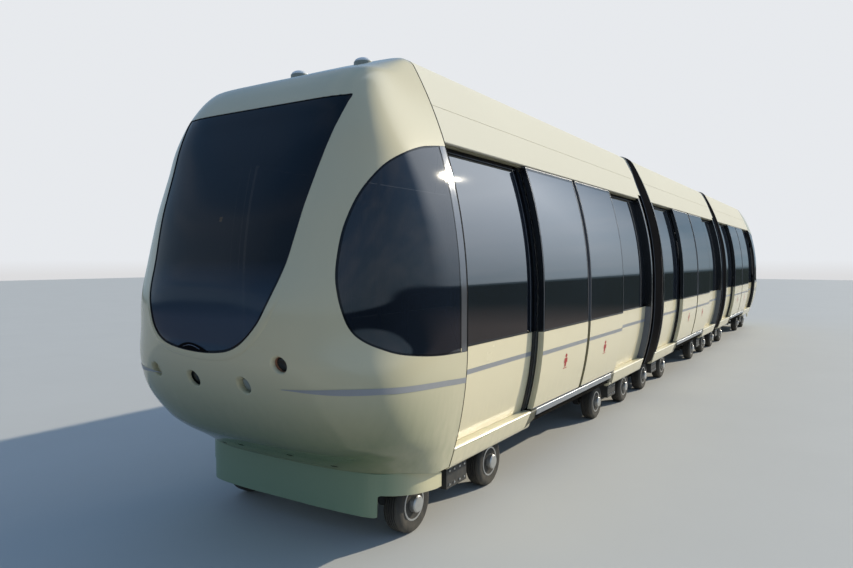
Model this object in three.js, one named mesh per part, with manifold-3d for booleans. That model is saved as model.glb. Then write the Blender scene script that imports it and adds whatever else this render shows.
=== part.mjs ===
import * as THREE from 'three';
import { mergeVertices } from 'three/addons/utils/BufferGeometryUtils.js';
import Module from 'manifold-3d';

const wasm = await Module();
wasm.setup();

// A three-car articulated people mover that a cable draws along its track.
// Millimetres. X runs along the vehicle, the first car's nose points to -X, Z is up,
// and the origin is on the running surface under the middle of the middle car.

// Driving dimensions of the cars
const CAR_LENGTH = 4960;
const GANGWAY_LENGTH = 600;
const HALF_WIDTH = 1120;
const ROOF_TOP = 3290;
const SKIRT_BOTTOM = 400;
const SLAB_BOTTOM = 450;
const FLOOR_TOP = 566;
const BELT = 1245;
const CORNICE = 2650;
const SHELL = 60;
const ROOF_THICKNESS = 100;
const WALL_INSET = 75;
const WALL_THICKNESS = 50;
const GAP = 0.3;
const CAR_PITCH = CAR_LENGTH + GANGWAY_LENGTH;
const CAR_END = CAR_LENGTH / 2;

// Body section: two side arcs with a straight between them, a roof corner and a crown
const LOW_ARC = { z: 1300, radius: 2700 };
const HIGH_ARC = { z: 1550, radius: 3350 };
const CORNER_RADIUS = 120;
const CROWN_RADIUS = 6000;
const SECTION_STOPS = [FLOOR_TOP, 930, LOW_ARC.z, HIGH_ARC.z, 1950, 2310];
const CROWN_STOPS = [0.66, 0.33];

// Raised covering along the aisle
const AISLE_HALF_WIDTH = 500;
const AISLE_RAISE = 4;
const AISLE_END_MARGIN = 60;

// Doors
const LEAF_WIDTH = 1160;
const LEAF_THICKNESS = 30;
const LEAF_END_DEPTH = 50;
const LEAF_CLEARANCE = 10;
const LEAF_MEETING_GAP = 3;
const LEAF_FRAME = 45;
const DOORWAY_HALF = 1100;

// Fixed side windows
const WINDOW_END_MARGIN = 45;
const WINDOW_DOOR_MARGIN = 150;
const WINDOW_TOP = 2605;
const END_PILLAR = 50;

// Panes: depth behind the face around them, thickness, and lap into their frames
const PANE_DEPTH = 14;
const PANE_THICKNESS = 12;
const PANE_LAP = 5;
const WINDSCREEN_GAP = 4;

// How far cutting blocks reach, inside and outside the body side
const CUT_INNER = 300;
const CUT_OUTER = HALF_WIDTH + 50;

// Bogies and wheels
const WHEEL_RADIUS = 200;
const WHEELBASE = 1120;
const NOSE_BOGIE_SETBACK = 370;
const INNER_BOGIE_SETBACK = 750;
const WHEEL_FACETS = 16;
const AXLE_RADIUS = 35;
const AXLE_CLEARANCE = 8;
const AXLE_HOLE_SIDES = 8;

// One half of the wheelset's profile from the hub face inward: radius and side distance
const TREAD = WHEEL_RADIUS / Math.cos(Math.PI / WHEEL_FACETS);
const WHEEL_PROFILE = [
  [0, 850], [58, 850], [58, 815], [188, 815], [TREAD, 800], [TREAD, 700], [188, 685],
  [60, 685], [AXLE_RADIUS, 665],
];

// Bogie frame: side beams with journals, guide boxes outside them, a cross beam and a bolster
const BEAM = { inner: 540, outer: 610, bottom: 262, top: 330, overhang: 90 };
const JOURNAL = { half: 62, bottom: 150 };
const GUIDE_BOX = { half: 150, outer: 820, bottom: 170 };
const CROSS_BEAM_HALF = 130;
const BOLSTER = { halfLength: 220, halfWidth: 300, top: SLAB_BOTTOM - 6 };

// Lap that lets two blocks of one solid join
const LAP = 5;

// Cable grip under the middle car, with the slot that the haul cable lies in
const GRIP_PLATE = { halfLength: 420, halfWidth: 170, bottom: 410, top: SLAB_BOTTOM - GAP };
const GRIP_POST = { halfLength: 260, halfWidth: 60, bottom: 240, top: SLAB_BOTTOM - GAP };
const GRIP_JAW = { halfLength: 340, halfWidth: 75, bottom: 120, top: 250 };
const GRIP_SLOT = { halfLength: 400, halfWidth: 22, bottom: 100, top: 165 };

// Articulation: each half of the gangway narrows towards its sides so the cars can turn
const GANGWAY_INSET = 25;
const GANGWAY_THICKNESS = 60;
const GANGWAY_BOTTOM = 452;
const GANGWAY_HALF_ANGLE = 3.4;
const GANGWAY_MIDDLE_GAP = 4;

// Nose sections: height, reach ahead of the car's end, and fullness of the plan curve
const NOSE_SECTIONS = [
  { z: 400, reach: 560, fullness: 3.2 },
  { z: 490, reach: 640, fullness: 3.3 },
  { z: 600, reach: 805, fullness: 3.3 },
  { z: 670, reach: 905, fullness: 3.8 },
  { z: 750, reach: 977, fullness: 4.5 },
  { z: 950, reach: 1100, fullness: 5.2 },
  { z: 1130, reach: 1183, fullness: 4.6 },
  { z: 1350, reach: 1275, fullness: 3.4 },
  { z: 1600, reach: 1298, fullness: 3.1 },
  { z: 1850, reach: 1208, fullness: 3.4 },
  { z: 2130, reach: 1114, fullness: 3.8 },
  { z: 2450, reach: 977, fullness: 4.8 },
  { z: 2700, reach: 862, fullness: 6.8 },
  { z: 2880, reach: 776, fullness: 7.3 },
  { z: 3050, reach: 631, fullness: 7.4 },
  { z: 3110, reach: 490, fullness: 6.1 },
  { z: 3170, reach: 328, fullness: 6.0 },
  { z: 3230, reach: 160, fullness: 6.0 },
  { z: 3288, reach: 20, fullness: 5.0 },
];
const NOSE_FACETS = 16;
const NOSE_RIM = 40;
const NOSE_RIM_THICKNESS = 110;
const NOSE_CEILING = 3160;
const NOSE_TOP = 3288;
const NOSE_LIFT_FROM = 1600;

// Lower edge of the nose, rising towards the front: distance ahead and height
const NOSE_LIP = 490;
const NOSE_UNDERSIDE = [[0, SKIRT_BOTTOM], [50, SKIRT_BOTTOM], [450, NOSE_LIP], [900, NOSE_LIP]];

// Windscreen outline, one half from the top middle down: half width and height
const WINDSCREEN_EDGE = [
  [0, 2842], [700, 2842], [733, 2812], [729, 2640], [693, 2431], [657, 2211], [617, 1992],
  [575, 1783], [530, 1621], [469, 1507], [396, 1437], [247, 1351], [120, 1310], [0, 1297],
];
const WINDSCREEN_LEVELS = { bottom: 1250, top: 2900 };
const WINDSCREEN_REACH = { near: 350, far: 1500 };

// Side window in the nose, from the rear upright round the front: distance ahead and height
const NOSE_WINDOW_EDGE = [
  [60, 1238], [359, 1248], [735, 1297], [852, 1336], [944, 1383], [1003, 1442], [1038, 1530],
  [1056, 1644], [1052, 1766], [1014, 1934], [963, 2076], [889, 2222], [795, 2326], [682, 2412],
  [539, 2483], [358, 2545], [60, 2606],
];
const NOSE_WINDOW_LEVELS = { bottom: 1200, top: 2650 };
const NOSE_WINDOW_INNER = 500;

// Lamps: side distance, height, radius and depth of each recess in the nose
const LAMP_RECESSES = [
  { y: -575, z: 1258, radius: 45, depth: 45 },
  { y: -240, z: 1103, radius: 48, depth: 45 },
  { y: 215, z: 1103, radius: 48, depth: 45 },
  { y: 595, z: 1128, radius: 45, depth: 45 },
];
const ROOF_LAMP = { ahead: 85, y: 307, z: 3235, radius: 72, height: 75 };
const LAMP_SIDES = 10;

// Apron under the nose, one half of its plan from the car end forward: ahead and side distance
const APRON_PLAN = [[40, 938], [260, 930], [420, 882], [530, 790], [580, 640], [600, 0]];
const APRON_THICKNESS = 18;
const APRON_BOTTOM = 200;

// Opening in each side of the apron for the wheels: distance ahead and height of its top edge
const APRON_ARCH = [[0, 295], [100, 295], [530, 345], [545, 0]];

// Seats, one side's section: side distance and height; then the poles and ceiling rails
const SEAT_SECTION = [
  [560, FLOOR_TOP + GAP], [590, FLOOR_TOP + GAP], [590, 960], [900, 960], [930, 1010],
  [950, 1230], [900, 1230], [870, 1010], [560, 1010],
];
const SEAT_END_MARGIN = 90;
const SEAT_DOOR_MARGIN = 60;
const POLE = { radius: 18, side: 575, setback: 40, sides: 6 };
const RAIL = { height: 2900, overrun: 20 };

const PAINT = { color: 0xddd3b0, roughness: 0.3, metalness: 0.05 };
const SHADE = { color: 0xbfc0b6, roughness: 0.5, metalness: 0.3 };
const GLASS = { color: 0x14181c, roughness: 0.08, metalness: 0.1 };
const RUBBER = { color: 0x141414, roughness: 0.8, metalness: 0.0 };
const IRON = { color: 0x33363a, roughness: 0.6, metalness: 0.6 };
const SEATING = { color: 0x8a8f94, roughness: 0.5, metalness: 0.2 };

// Solids: a closed geometry goes in, a solid that can be joined and cut comes out
function solid(geometry) {
  geometry.deleteAttribute('normal');
  geometry.deleteAttribute('uv');
  const merged = mergeVertices(geometry, 1e-3);
  return new wasm.Manifold(new wasm.Mesh({
    numProp: 3,
    vertProperties: new Float32Array(merged.attributes.position.array),
    triVerts: new Uint32Array(merged.index.array),
  }));
}

function mesh(name, body, finish) {
  const shape = body.getMesh();
  const geometry = new THREE.BufferGeometry();
  geometry.setAttribute('position', new THREE.BufferAttribute(shape.vertProperties, 3));
  geometry.setIndex(new THREE.BufferAttribute(shape.triVerts, 1));
  geometry.computeVertexNormals();
  const piece = new THREE.Mesh(geometry, new THREE.MeshStandardMaterial(finish));
  piece.name = name;
  return piece;
}

const join = (bodies) => bodies.reduce((whole, body) => whole.add(body));
const mirrored = (points) => points.map(([y, z]) => [-y, z]).reverse();

// Extrusions along each axis, from outlines given as point lists
function extrude(outline, hole, depth) {
  const shape = new THREE.Shape(outline.map(([u, v]) => new THREE.Vector2(u, v)));
  if (hole) {
    shape.holes.push(new THREE.Path(hole.map(([u, v]) => new THREE.Vector2(u, v))));
  }
  return new THREE.ExtrudeGeometry(shape, { depth, bevelEnabled: false });
}

const AXES = {
  x: new THREE.Vector3(1, 0, 0),
  y: new THREE.Vector3(0, 1, 0),
  z: new THREE.Vector3(0, 0, 1),
};

// Outline in Y and Z, swept from one X to the other
function alongX(outline, from, to, hole = null) {
  const geometry = extrude(outline, hole, to - from);
  geometry.applyMatrix4(new THREE.Matrix4().makeBasis(AXES.y, AXES.z, AXES.x));
  geometry.translate(from, 0, 0);
  return solid(geometry);
}

// Outline in X and Z, swept from one Y to the other
function alongY(outline, from, to) {
  const geometry = extrude(outline, null, to - from);
  geometry.applyMatrix4(new THREE.Matrix4().makeBasis(AXES.x, AXES.z, AXES.y.clone().negate()));
  geometry.translate(0, to, 0);
  return solid(geometry);
}

// Outline in X and Y, swept from one Z to the other
function alongZ(outline, from, to) {
  const geometry = extrude(outline, null, to - from);
  geometry.translate(0, 0, from);
  return solid(geometry);
}

function block([x0, y0, z0], [x1, y1, z1]) {
  return alongX([[y0, z0], [y1, z0], [y1, z1], [y0, z1]], x0, x1);
}

// A block centred on X and Y, from its half length, half width, bottom and top
function centredBlock({ halfLength, halfWidth, bottom, top }) {
  return block([-halfLength, -halfWidth, bottom], [halfLength, halfWidth, top]);
}

// A block through one body side, from one end's half of the car outward or across it
function sideCut(side, x0, x1, z0, z1) {
  const near = side < 0 ? -CUT_OUTER : CUT_INNER;
  const far = side < 0 ? -CUT_INNER : CUT_OUTER;
  return block([Math.min(x0, x1), near, z0], [Math.max(x0, x1), far, z1]);
}

function rod(radius, from, to, sides) {
  const start = new THREE.Vector3(...from);
  const run = new THREE.Vector3(...to).sub(start);
  const geometry = new THREE.CylinderGeometry(radius, radius, run.length(), sides);
  geometry.translate(0, run.length() / 2, 0);
  const turn = new THREE.Quaternion().setFromUnitVectors(AXES.y, run.clone().normalize());
  geometry.applyQuaternion(turn);
  geometry.translate(start.x, start.y, start.z);
  return solid(geometry);
}

// An outline moved out from its middle by a margin, or in by a negative one
function grown(outline, margin) {
  const middle = new THREE.Vector2();
  for (const [u, v] of outline) {
    middle.add(new THREE.Vector2(u, v).divideScalar(outline.length));
  }
  return outline.map(([u, v]) => {
    const arm = new THREE.Vector2(u, v).sub(middle);
    arm.setLength(arm.length() + margin).add(middle);
    return [arm.x, arm.y];
  });
}

// Roof corner: the circle that touches the high side arc and the crown from inside
function roofCorner(inset) {
  const high = { y: HALF_WIDTH - HIGH_ARC.radius, z: HIGH_ARC.z };
  const crown = { y: 0, z: ROOF_TOP - CROWN_RADIUS };
  const a = HIGH_ARC.radius - CORNER_RADIUS;
  const b = CROWN_RADIUS - CORNER_RADIUS;
  const dy = crown.y - high.y;
  const dz = crown.z - high.z;
  const span = Math.hypot(dy, dz);
  const along = (a * a - b * b + span * span) / (2 * span);
  const aside = Math.sqrt(a * a - along * along);
  const y = high.y + (dy * along - dz * aside) / span;
  const z = high.z + (dz * along + dy * aside) / span;
  const from = Math.atan2(z - high.z, y - high.y);
  const to = Math.atan2(z - crown.z, y - crown.y);
  const radius = CORNER_RADIUS - inset;
  return {
    y, z, radius, from, to, crown,
    foot: z + radius * Math.sin(from),
    head: z + radius * Math.sin(to),
  };
}

// Half width of the body at a height, for the outer face or one inset from it
function halfWidth(z, inset = 0) {
  const corner = roofCorner(inset);
  if (z < LOW_ARC.z) {
    const radius = LOW_ARC.radius - inset;
    return HALF_WIDTH - LOW_ARC.radius + Math.sqrt(radius ** 2 - (z - LOW_ARC.z) ** 2);
  }
  if (z < HIGH_ARC.z) {
    return HALF_WIDTH - inset;
  }
  if (z < corner.foot) {
    const radius = HIGH_ARC.radius - inset;
    return HALF_WIDTH - HIGH_ARC.radius + Math.sqrt(radius ** 2 - (z - HIGH_ARC.z) ** 2);
  }
  if (z < corner.head) {
    return corner.y + Math.sqrt(Math.max(corner.radius ** 2 - (z - corner.z) ** 2, 0));
  }
  return Math.sqrt(Math.max((CROWN_RADIUS - inset) ** 2 - (z - corner.crown.z) ** 2, 0));
}

// Points up the +Y side from one height to another, with a step for each stretch of the section
function sidePoints(from, to, inset) {
  const stops = SECTION_STOPS.filter((z) => z > from + 1 && z < to - 1);
  return [from, ...stops, to].map((z) => [halfWidth(z, inset), z]);
}

// Points over the roof from the +Y side to the -Y side, from a height up
function roofPoints(from, inset) {
  const corner = roofCorner(inset);
  const right = [from, (from + corner.foot) / 2].map((z) => [halfWidth(z, inset), z]);
  for (const step of [0, 0.5, 1]) {
    const angle = corner.from + step * (corner.to - corner.from);
    const y = corner.y + corner.radius * Math.cos(angle);
    right.push([y, corner.z + corner.radius * Math.sin(angle)]);
  }
  const [shoulder] = right[right.length - 1];
  for (const share of CROWN_STOPS) {
    const y = shoulder * share;
    right.push([y, corner.crown.z + Math.sqrt((CROWN_RADIUS - inset) ** 2 - y ** 2)]);
  }
  return [...right, [0, ROOF_TOP - inset], ...mirrored(right)];
}

// The whole section as one loop, from a bottom height up over the roof and back down
function loopPoints(bottom, inset) {
  const sidewall = sidePoints(bottom, CORNICE, inset);
  return [...sidewall, ...roofPoints(CORNICE + 1, inset), ...mirrored(sidewall)];
}

// A band of one body side between two heights and two insets
function sideBand(side, low, high, outer, inner) {
  const loop = [...sidePoints(low, high, outer), ...sidePoints(low, high, inner).reverse()];
  return side > 0 ? loop : mirrored(loop);
}

// Reach and fullness of the nose at a height, smoothly through the table
function noseShape(z) {
  const rows = NOSE_SECTIONS;
  const above = rows.findIndex((row) => row.z > z);
  const i = above < 0 ? rows.length - 2 : Math.max(above - 1, 0);
  const low = rows[i];
  const high = rows[i + 1];
  const span = high.z - low.z;
  const share = THREE.MathUtils.clamp((z - low.z) / span, 0, 1);
  const square = share ** 2;
  const cube = share ** 3;
  const slope = (key, j) => {
    const before = rows[Math.max(j - 1, 0)];
    const after = rows[Math.min(j + 1, rows.length - 1)];
    return (after[key] - before[key]) / (after.z - before.z);
  };
  const through = (key) => (2 * cube - 3 * square + 1) * low[key]
    + (cube - 2 * square + share) * span * slope(key, i)
    + (3 * square - 2 * cube) * high[key]
    + (cube - square) * span * slope(key, i + 1);
  return { reach: through('reach'), fullness: through('fullness') };
}

// Levels of a nose solid: the table's heights between a bottom and a top
function noseLevels(bottom, top) {
  const between = NOSE_SECTIONS.map((row) => row.z).filter((z) => z > bottom + 10 && z < top - 10);
  return [bottom, ...between, top];
}

// One level of the nose, from the -Y side round the front to the +Y side
function noseRow(z, inset, start) {
  const lift = inset * THREE.MathUtils.smoothstep(z, NOSE_LIFT_FROM, ROOF_TOP);
  const { reach, fullness } = noseShape(z + lift);
  const width = halfWidth(z, inset);
  const points = [];
  for (let j = 0; j <= NOSE_FACETS; j += 1) {
    const angle = Math.PI * (j / NOSE_FACETS - 0.5);
    const ends = j === 0 || j === NOSE_FACETS;
    const c = ends ? 0 : Math.cos(angle);
    const s = Math.sin(angle);
    const size = (Math.abs(c) ** fullness + Math.abs(s) ** fullness) ** (-1 / fullness);
    points.push(-CAR_END - start - (reach - inset - start) * size * c, width * size * s, z);
  }
  return points;
}

// A solid nose, flat at the car end, whose outer face is inset by a stated amount
function noseSolid(levels, inset, start = 0) {
  const positions = levels.flatMap((z) => noseRow(z, inset, start));
  const faces = [];
  const row = NOSE_FACETS + 1;
  for (let i = 0; i < levels.length - 1; i += 1) {
    for (let j = 0; j < NOSE_FACETS; j += 1) {
      const a = i * row + j;
      const d = a + row;
      faces.push(a, d, d + 1, a, d + 1, a + 1);
    }
    const left = i * row;
    const right = left + NOSE_FACETS;
    faces.push(left, right, right + row, left, right + row, left + row);
  }
  const top = (levels.length - 1) * row;
  for (let j = 1; j < NOSE_FACETS; j += 1) {
    faces.push(0, j, j + 1);
    faces.push(top, top + j + 1, top + j);
  }
  const geometry = new THREE.BufferGeometry();
  geometry.setAttribute('position', new THREE.Float32BufferAttribute(positions, 3));
  geometry.setIndex(faces);
  return solid(geometry);
}

// A pane that follows the nose a little behind its face, cut to an outline by a prism
function nosePane({ bottom, top }, prism) {
  const face = noseSolid(noseLevels(bottom, top), PANE_DEPTH);
  const back = noseSolid(noseLevels(bottom - 50, top + 50), PANE_DEPTH + PANE_THICKNESS, -LAP);
  return face.subtract(back).intersect(prism);
}

function windscreenPrism(margin) {
  const outline = grown([...WINDSCREEN_EDGE, ...mirrored(WINDSCREEN_EDGE).slice(1, -1)], margin);
  const { near, far } = WINDSCREEN_REACH;
  return alongX(outline.reverse(), -CAR_END - far, -CAR_END - near);
}

function noseWindowPrism(side, margin) {
  const outline = grown(NOSE_WINDOW_EDGE, margin).map(([ahead, z]) => [-CAR_END - ahead, z]);
  const near = side < 0 ? -CUT_OUTER : NOSE_WINDOW_INNER;
  const far = side < 0 ? -NOSE_WINDOW_INNER : CUT_OUTER;
  return alongY(outline, near, far);
}

function lampRecess({ y, z, radius, depth }) {
  const { reach, fullness } = noseShape(z);
  const front = reach * (1 - (Math.abs(y) / halfWidth(z)) ** fullness) ** (1 / fullness);
  return rod(radius, [-CAR_END - front - SHELL, y, z], [-CAR_END - front + depth, y, z], LAMP_SIDES);
}

// The space between the nose's lower edge, moved down by a shift, and a limiting height
function besideUnderside(limit, shift) {
  const edge = NOSE_UNDERSIDE.map(([ahead, z]) => [-CAR_END - ahead, z - shift]);
  const [first] = edge;
  const last = edge[edge.length - 1];
  return alongY([[first[0], limit], ...edge, [last[0], limit]], -HALF_WIDTH, HALF_WIDTH);
}

function nose() {
  const cabin = noseSolid(noseLevels(FLOOR_TOP, NOSE_CEILING), SHELL, NOSE_RIM);
  const under = noseSolid([SKIRT_BOTTOM - 20, SLAB_BOTTOM], SHELL, -GAP);
  const passage = alongX(loopPoints(FLOOR_TOP, NOSE_RIM_THICKNESS),
    -CAR_END - NOSE_RIM - 1, -CAR_END + 1);
  let shell = noseSolid(noseLevels(SKIRT_BOTTOM, NOSE_TOP), 0);
  for (const hollow of [cabin, under, passage, windscreenPrism(0), besideUnderside(0, 0)]) {
    shell = shell.subtract(hollow);
  }
  for (const recess of LAMP_RECESSES) {
    shell = shell.subtract(lampRecess(recess));
  }
  for (const side of [-1, 1]) {
    shell = shell.subtract(noseWindowPrism(side, 0));
    shell = shell.add(nosePane(NOSE_WINDOW_LEVELS, noseWindowPrism(side, PANE_LAP)));
    const foot = [-CAR_END - ROOF_LAMP.ahead, side * ROOF_LAMP.y, ROOF_LAMP.z];
    const head = [foot[0], foot[1], ROOF_LAMP.z + ROOF_LAMP.height];
    shell = shell.add(rod(ROOF_LAMP.radius, foot, head, LAMP_SIDES));
  }
  return shell;
}

function windscreen() {
  return nosePane(WINDSCREEN_LEVELS, windscreenPrism(-WINDSCREEN_GAP));
}

// The apron's plan, one half moved in by a shift, and then both halves as one path
function apronPath(shift) {
  const last = APRON_PLAN.length - 1;
  const half = APRON_PLAN.map(([ahead, y], i) => [
    -CAR_END - (i === 0 ? ahead : ahead - shift),
    i === last ? 0 : y - shift,
  ]);
  return [...half, ...half.slice(0, -1).map(([x, y]) => [x, -y]).reverse()];
}

function apron() {
  const ring = [...apronPath(0), ...apronPath(APRON_THICKNESS).reverse()];
  const arch = APRON_ARCH.map(([ahead, z]) => [-CAR_END - ahead, z]);
  const wrap = alongZ(ring, APRON_BOTTOM, NOSE_LIP - GAP);
  const openings = alongY([[-CAR_END, 0], ...arch], -HALF_WIDTH, HALF_WIDTH);
  return wrap.subtract(openings).subtract(besideUnderside(NOSE_LIP, GAP));
}

// Car shell: a floor slab between two skirts, with the aisle's covering
function underframe() {
  const skirt = [
    [halfWidth(SLAB_BOTTOM, SHELL), SLAB_BOTTOM],
    [halfWidth(SKIRT_BOTTOM, SHELL), SKIRT_BOTTOM],
    ...sidePoints(SKIRT_BOTTOM, FLOOR_TOP, 0),
  ];
  const slab = alongX([...skirt, ...mirrored(skirt)], -CAR_END + GAP, CAR_END - GAP);
  return slab.add(centredBlock({
    halfLength: CAR_END - AISLE_END_MARGIN,
    halfWidth: AISLE_HALF_WIDTH,
    bottom: FLOOR_TOP - LAP,
    top: FLOOR_TOP + AISLE_RAISE,
  }));
}

function roof() {
  const section = [...roofPoints(CORNICE, 0), ...roofPoints(CORNICE, ROOF_THICKNESS).reverse()];
  return alongX(section, -CAR_END + GAP, CAR_END - GAP);
}

// A side wall behind the door leaves, with windows and with pillars at the stated car ends
function wall(side, pillars) {
  const low = FLOOR_TOP + GAP;
  const high = CORNICE - GAP;
  const depth = WALL_INSET + WALL_THICKNESS;
  const end = CAR_END - GAP;
  let body = alongX(sideBand(side, low, high, WALL_INSET, depth), -end, end);
  for (const pillar of pillars) {
    const from = Math.min(pillar * end, pillar * (end - END_PILLAR));
    body = body.add(alongX(sideBand(side, low, high, 0, depth), from, from + END_PILLAR));
  }
  body = body.subtract(sideCut(side, -DOORWAY_HALF, DOORWAY_HALF, 0, WINDOW_TOP));
  for (const half of [-1, 1]) {
    const near = half * (DOORWAY_HALF + WINDOW_DOOR_MARGIN);
    const pillar = pillars.includes(half) ? END_PILLAR : 0;
    const far = half * (CAR_END - pillar - WINDOW_END_MARGIN);
    body = body.subtract(sideCut(side, near, far, BELT, WINDOW_TOP));
    body = body.add(sidePane(side, near, far, WINDOW_TOP, WALL_INSET));
  }
  return body;
}

// A pane between two X, from the belt to a top height, behind a face inset from the body side
function sidePane(side, x0, x1, top, inset) {
  const outer = inset + PANE_DEPTH;
  const band = sideBand(side, BELT - PANE_LAP, top + PANE_LAP, outer, outer + PANE_THICKNESS);
  return alongX(band, Math.min(x0, x1) - PANE_LAP, Math.max(x0, x1) + PANE_LAP);
}

function doorLeaf(side, end) {
  const low = FLOOR_TOP + LEAF_CLEARANCE;
  const high = CORNICE - LEAF_CLEARANCE;
  const near = end * LEAF_MEETING_GAP;
  const far = end * LEAF_WIDTH;
  const band = sideBand(side, low, high, 0, LEAF_THICKNESS);
  const post = far - end * LEAF_FRAME;
  const edge = sideBand(side, low, high, 0, LEAF_END_DEPTH);
  const panel = alongX(band, Math.min(near, far), Math.max(near, far))
    .add(alongX(edge, Math.min(post, far), Math.max(post, far)));
  const window = [near + end * LEAF_FRAME, post, high - LEAF_FRAME];
  const hole = sideCut(side, window[0], window[1], BELT, window[2]);
  return panel.subtract(hole).add(sidePane(side, ...window, 0));
}

// Half of a gangway, from a car end at x = 0 towards +X and the pivot
function gangwayHalf() {
  const half = GANGWAY_LENGTH / 2;
  const outer = loopPoints(GANGWAY_BOTTOM, GANGWAY_INSET);
  const inner = loopPoints(FLOOR_TOP, GANGWAY_INSET + GANGWAY_THICKNESS);
  const wide = HALF_WIDTH + 100;
  const back = wide * Math.tan(THREE.MathUtils.degToRad(GANGWAY_HALF_ANGLE));
  const face = half - GANGWAY_MIDDLE_GAP;
  const wedge = [
    [face, 0], [face - back, wide], [half + 10, wide],
    [half + 10, -wide], [face - back, -wide],
  ];
  return alongX(outer, GAP, half, inner).subtract(alongZ(wedge, 0, ROOF_TOP + 100));
}

// Seats along the fixed panels, with poles and ceiling rails that join them
function seating() {
  const far = CAR_END - SEAT_END_MARGIN;
  const near = DOORWAY_HALF + SEAT_DOOR_MARGIN;
  const poleX = near + POLE.setback;
  const pieces = [];
  for (const side of [-1, 1]) {
    const section = side > 0 ? SEAT_SECTION : mirrored(SEAT_SECTION);
    const y = side * POLE.side;
    for (const end of [-1, 1]) {
      const x = end * poleX;
      pieces.push(alongX(section, Math.min(end * far, end * near), Math.max(end * far, end * near)));
      pieces.push(rod(POLE.radius, [x, y, FLOOR_TOP + GAP], [x, y, RAIL.height], POLE.sides));
    }
    const start = [-poleX - RAIL.overrun, y, RAIL.height];
    pieces.push(rod(POLE.radius, start, [poleX + RAIL.overrun, y, RAIL.height], POLE.sides));
  }
  for (const end of [-1, 1]) {
    const x = end * poleX;
    const reach = POLE.side + RAIL.overrun;
    pieces.push(rod(POLE.radius, [x, -reach, RAIL.height], [x, reach, RAIL.height], POLE.sides));
  }
  return join(pieces);
}

// Wheelset: both wheels and their axle, turned about the axle
function wheelset() {
  const profile = [...WHEEL_PROFILE, ...WHEEL_PROFILE.map(([r, y]) => [r, -y]).reverse()];
  const points = profile.reverse().map(([r, y]) => new THREE.Vector2(r, y));
  const geometry = new THREE.LatheGeometry(points, WHEEL_FACETS);
  geometry.rotateY(Math.PI / WHEEL_FACETS);
  return solid(geometry);
}

// The pieces of a bogie frame on one side of it
function bogieSide(side) {
  const reach = WHEELBASE / 2;
  const long = reach + BEAM.overhang;
  const across = (inner, outer) => [Math.min(side * inner, side * outer),
    Math.max(side * inner, side * outer)];
  const [y0, y1] = across(BEAM.inner, BEAM.outer);
  const [g0, g1] = across(BEAM.outer - LAP, GUIDE_BOX.outer);
  const pieces = [
    block([-long, y0, BEAM.bottom], [long, y1, BEAM.top]),
    block([-GUIDE_BOX.half, g0, GUIDE_BOX.bottom], [GUIDE_BOX.half, g1, BEAM.top]),
  ];
  for (const x of [-reach, reach]) {
    pieces.push(block([x - JOURNAL.half, y0, JOURNAL.bottom],
      [x + JOURNAL.half, y1, BEAM.bottom + LAP]));
  }
  return join(pieces);
}

function bogieFrame() {
  const width = BEAM.outer - LAP;
  const cross = block([-CROSS_BEAM_HALF, -width, BEAM.bottom], [CROSS_BEAM_HALF, width, BEAM.top - LAP]);
  let frame = join([bogieSide(-1), bogieSide(1), cross,
    centredBlock({ ...BOLSTER, bottom: BEAM.top - 2 * LAP })]);
  for (const x of [-WHEELBASE / 2, WHEELBASE / 2]) {
    frame = frame.subtract(rod(AXLE_RADIUS + AXLE_CLEARANCE, [x, -HALF_WIDTH, WHEEL_RADIUS],
      [x, HALF_WIDTH, WHEEL_RADIUS], AXLE_HOLE_SIDES));
  }
  return frame;
}

function cableGrip() {
  const grip = join([GRIP_PLATE, GRIP_POST, GRIP_JAW].map(centredBlock));
  return grip.subtract(centredBlock(GRIP_SLOT));
}

// The train: three cars, the last one turned round
const train = new THREE.Group();
const CARS = [
  { number: 1, x: -CAR_PITCH, turned: false, nose: true },
  { number: 2, x: 0, turned: false, nose: false },
  { number: 3, x: CAR_PITCH, turned: true, nose: true },
];
const NOSE_CAR_GANGWAYS = [{ end: 1, name: 'gangway' }];
const MIDDLE_CAR_GANGWAYS = [{ end: -1, name: 'gangway_front' }, { end: 1, name: 'gangway_rear' }];

function bogieGroup(tag, place, x, firstAxle) {
  const group = new THREE.Group();
  group.position.set(x, 0, 0);
  group.add(mesh(`${tag}_bogie_${place}`, bogieFrame(), IRON));
  for (const axle of [0, 1]) {
    const wheels = mesh(`${tag}_wheelset_${firstAxle + axle}`, wheelset(), RUBBER);
    wheels.position.set((axle - 0.5) * WHEELBASE, 0, WHEEL_RADIUS);
    group.add(wheels);
  }
  return group;
}

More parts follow.
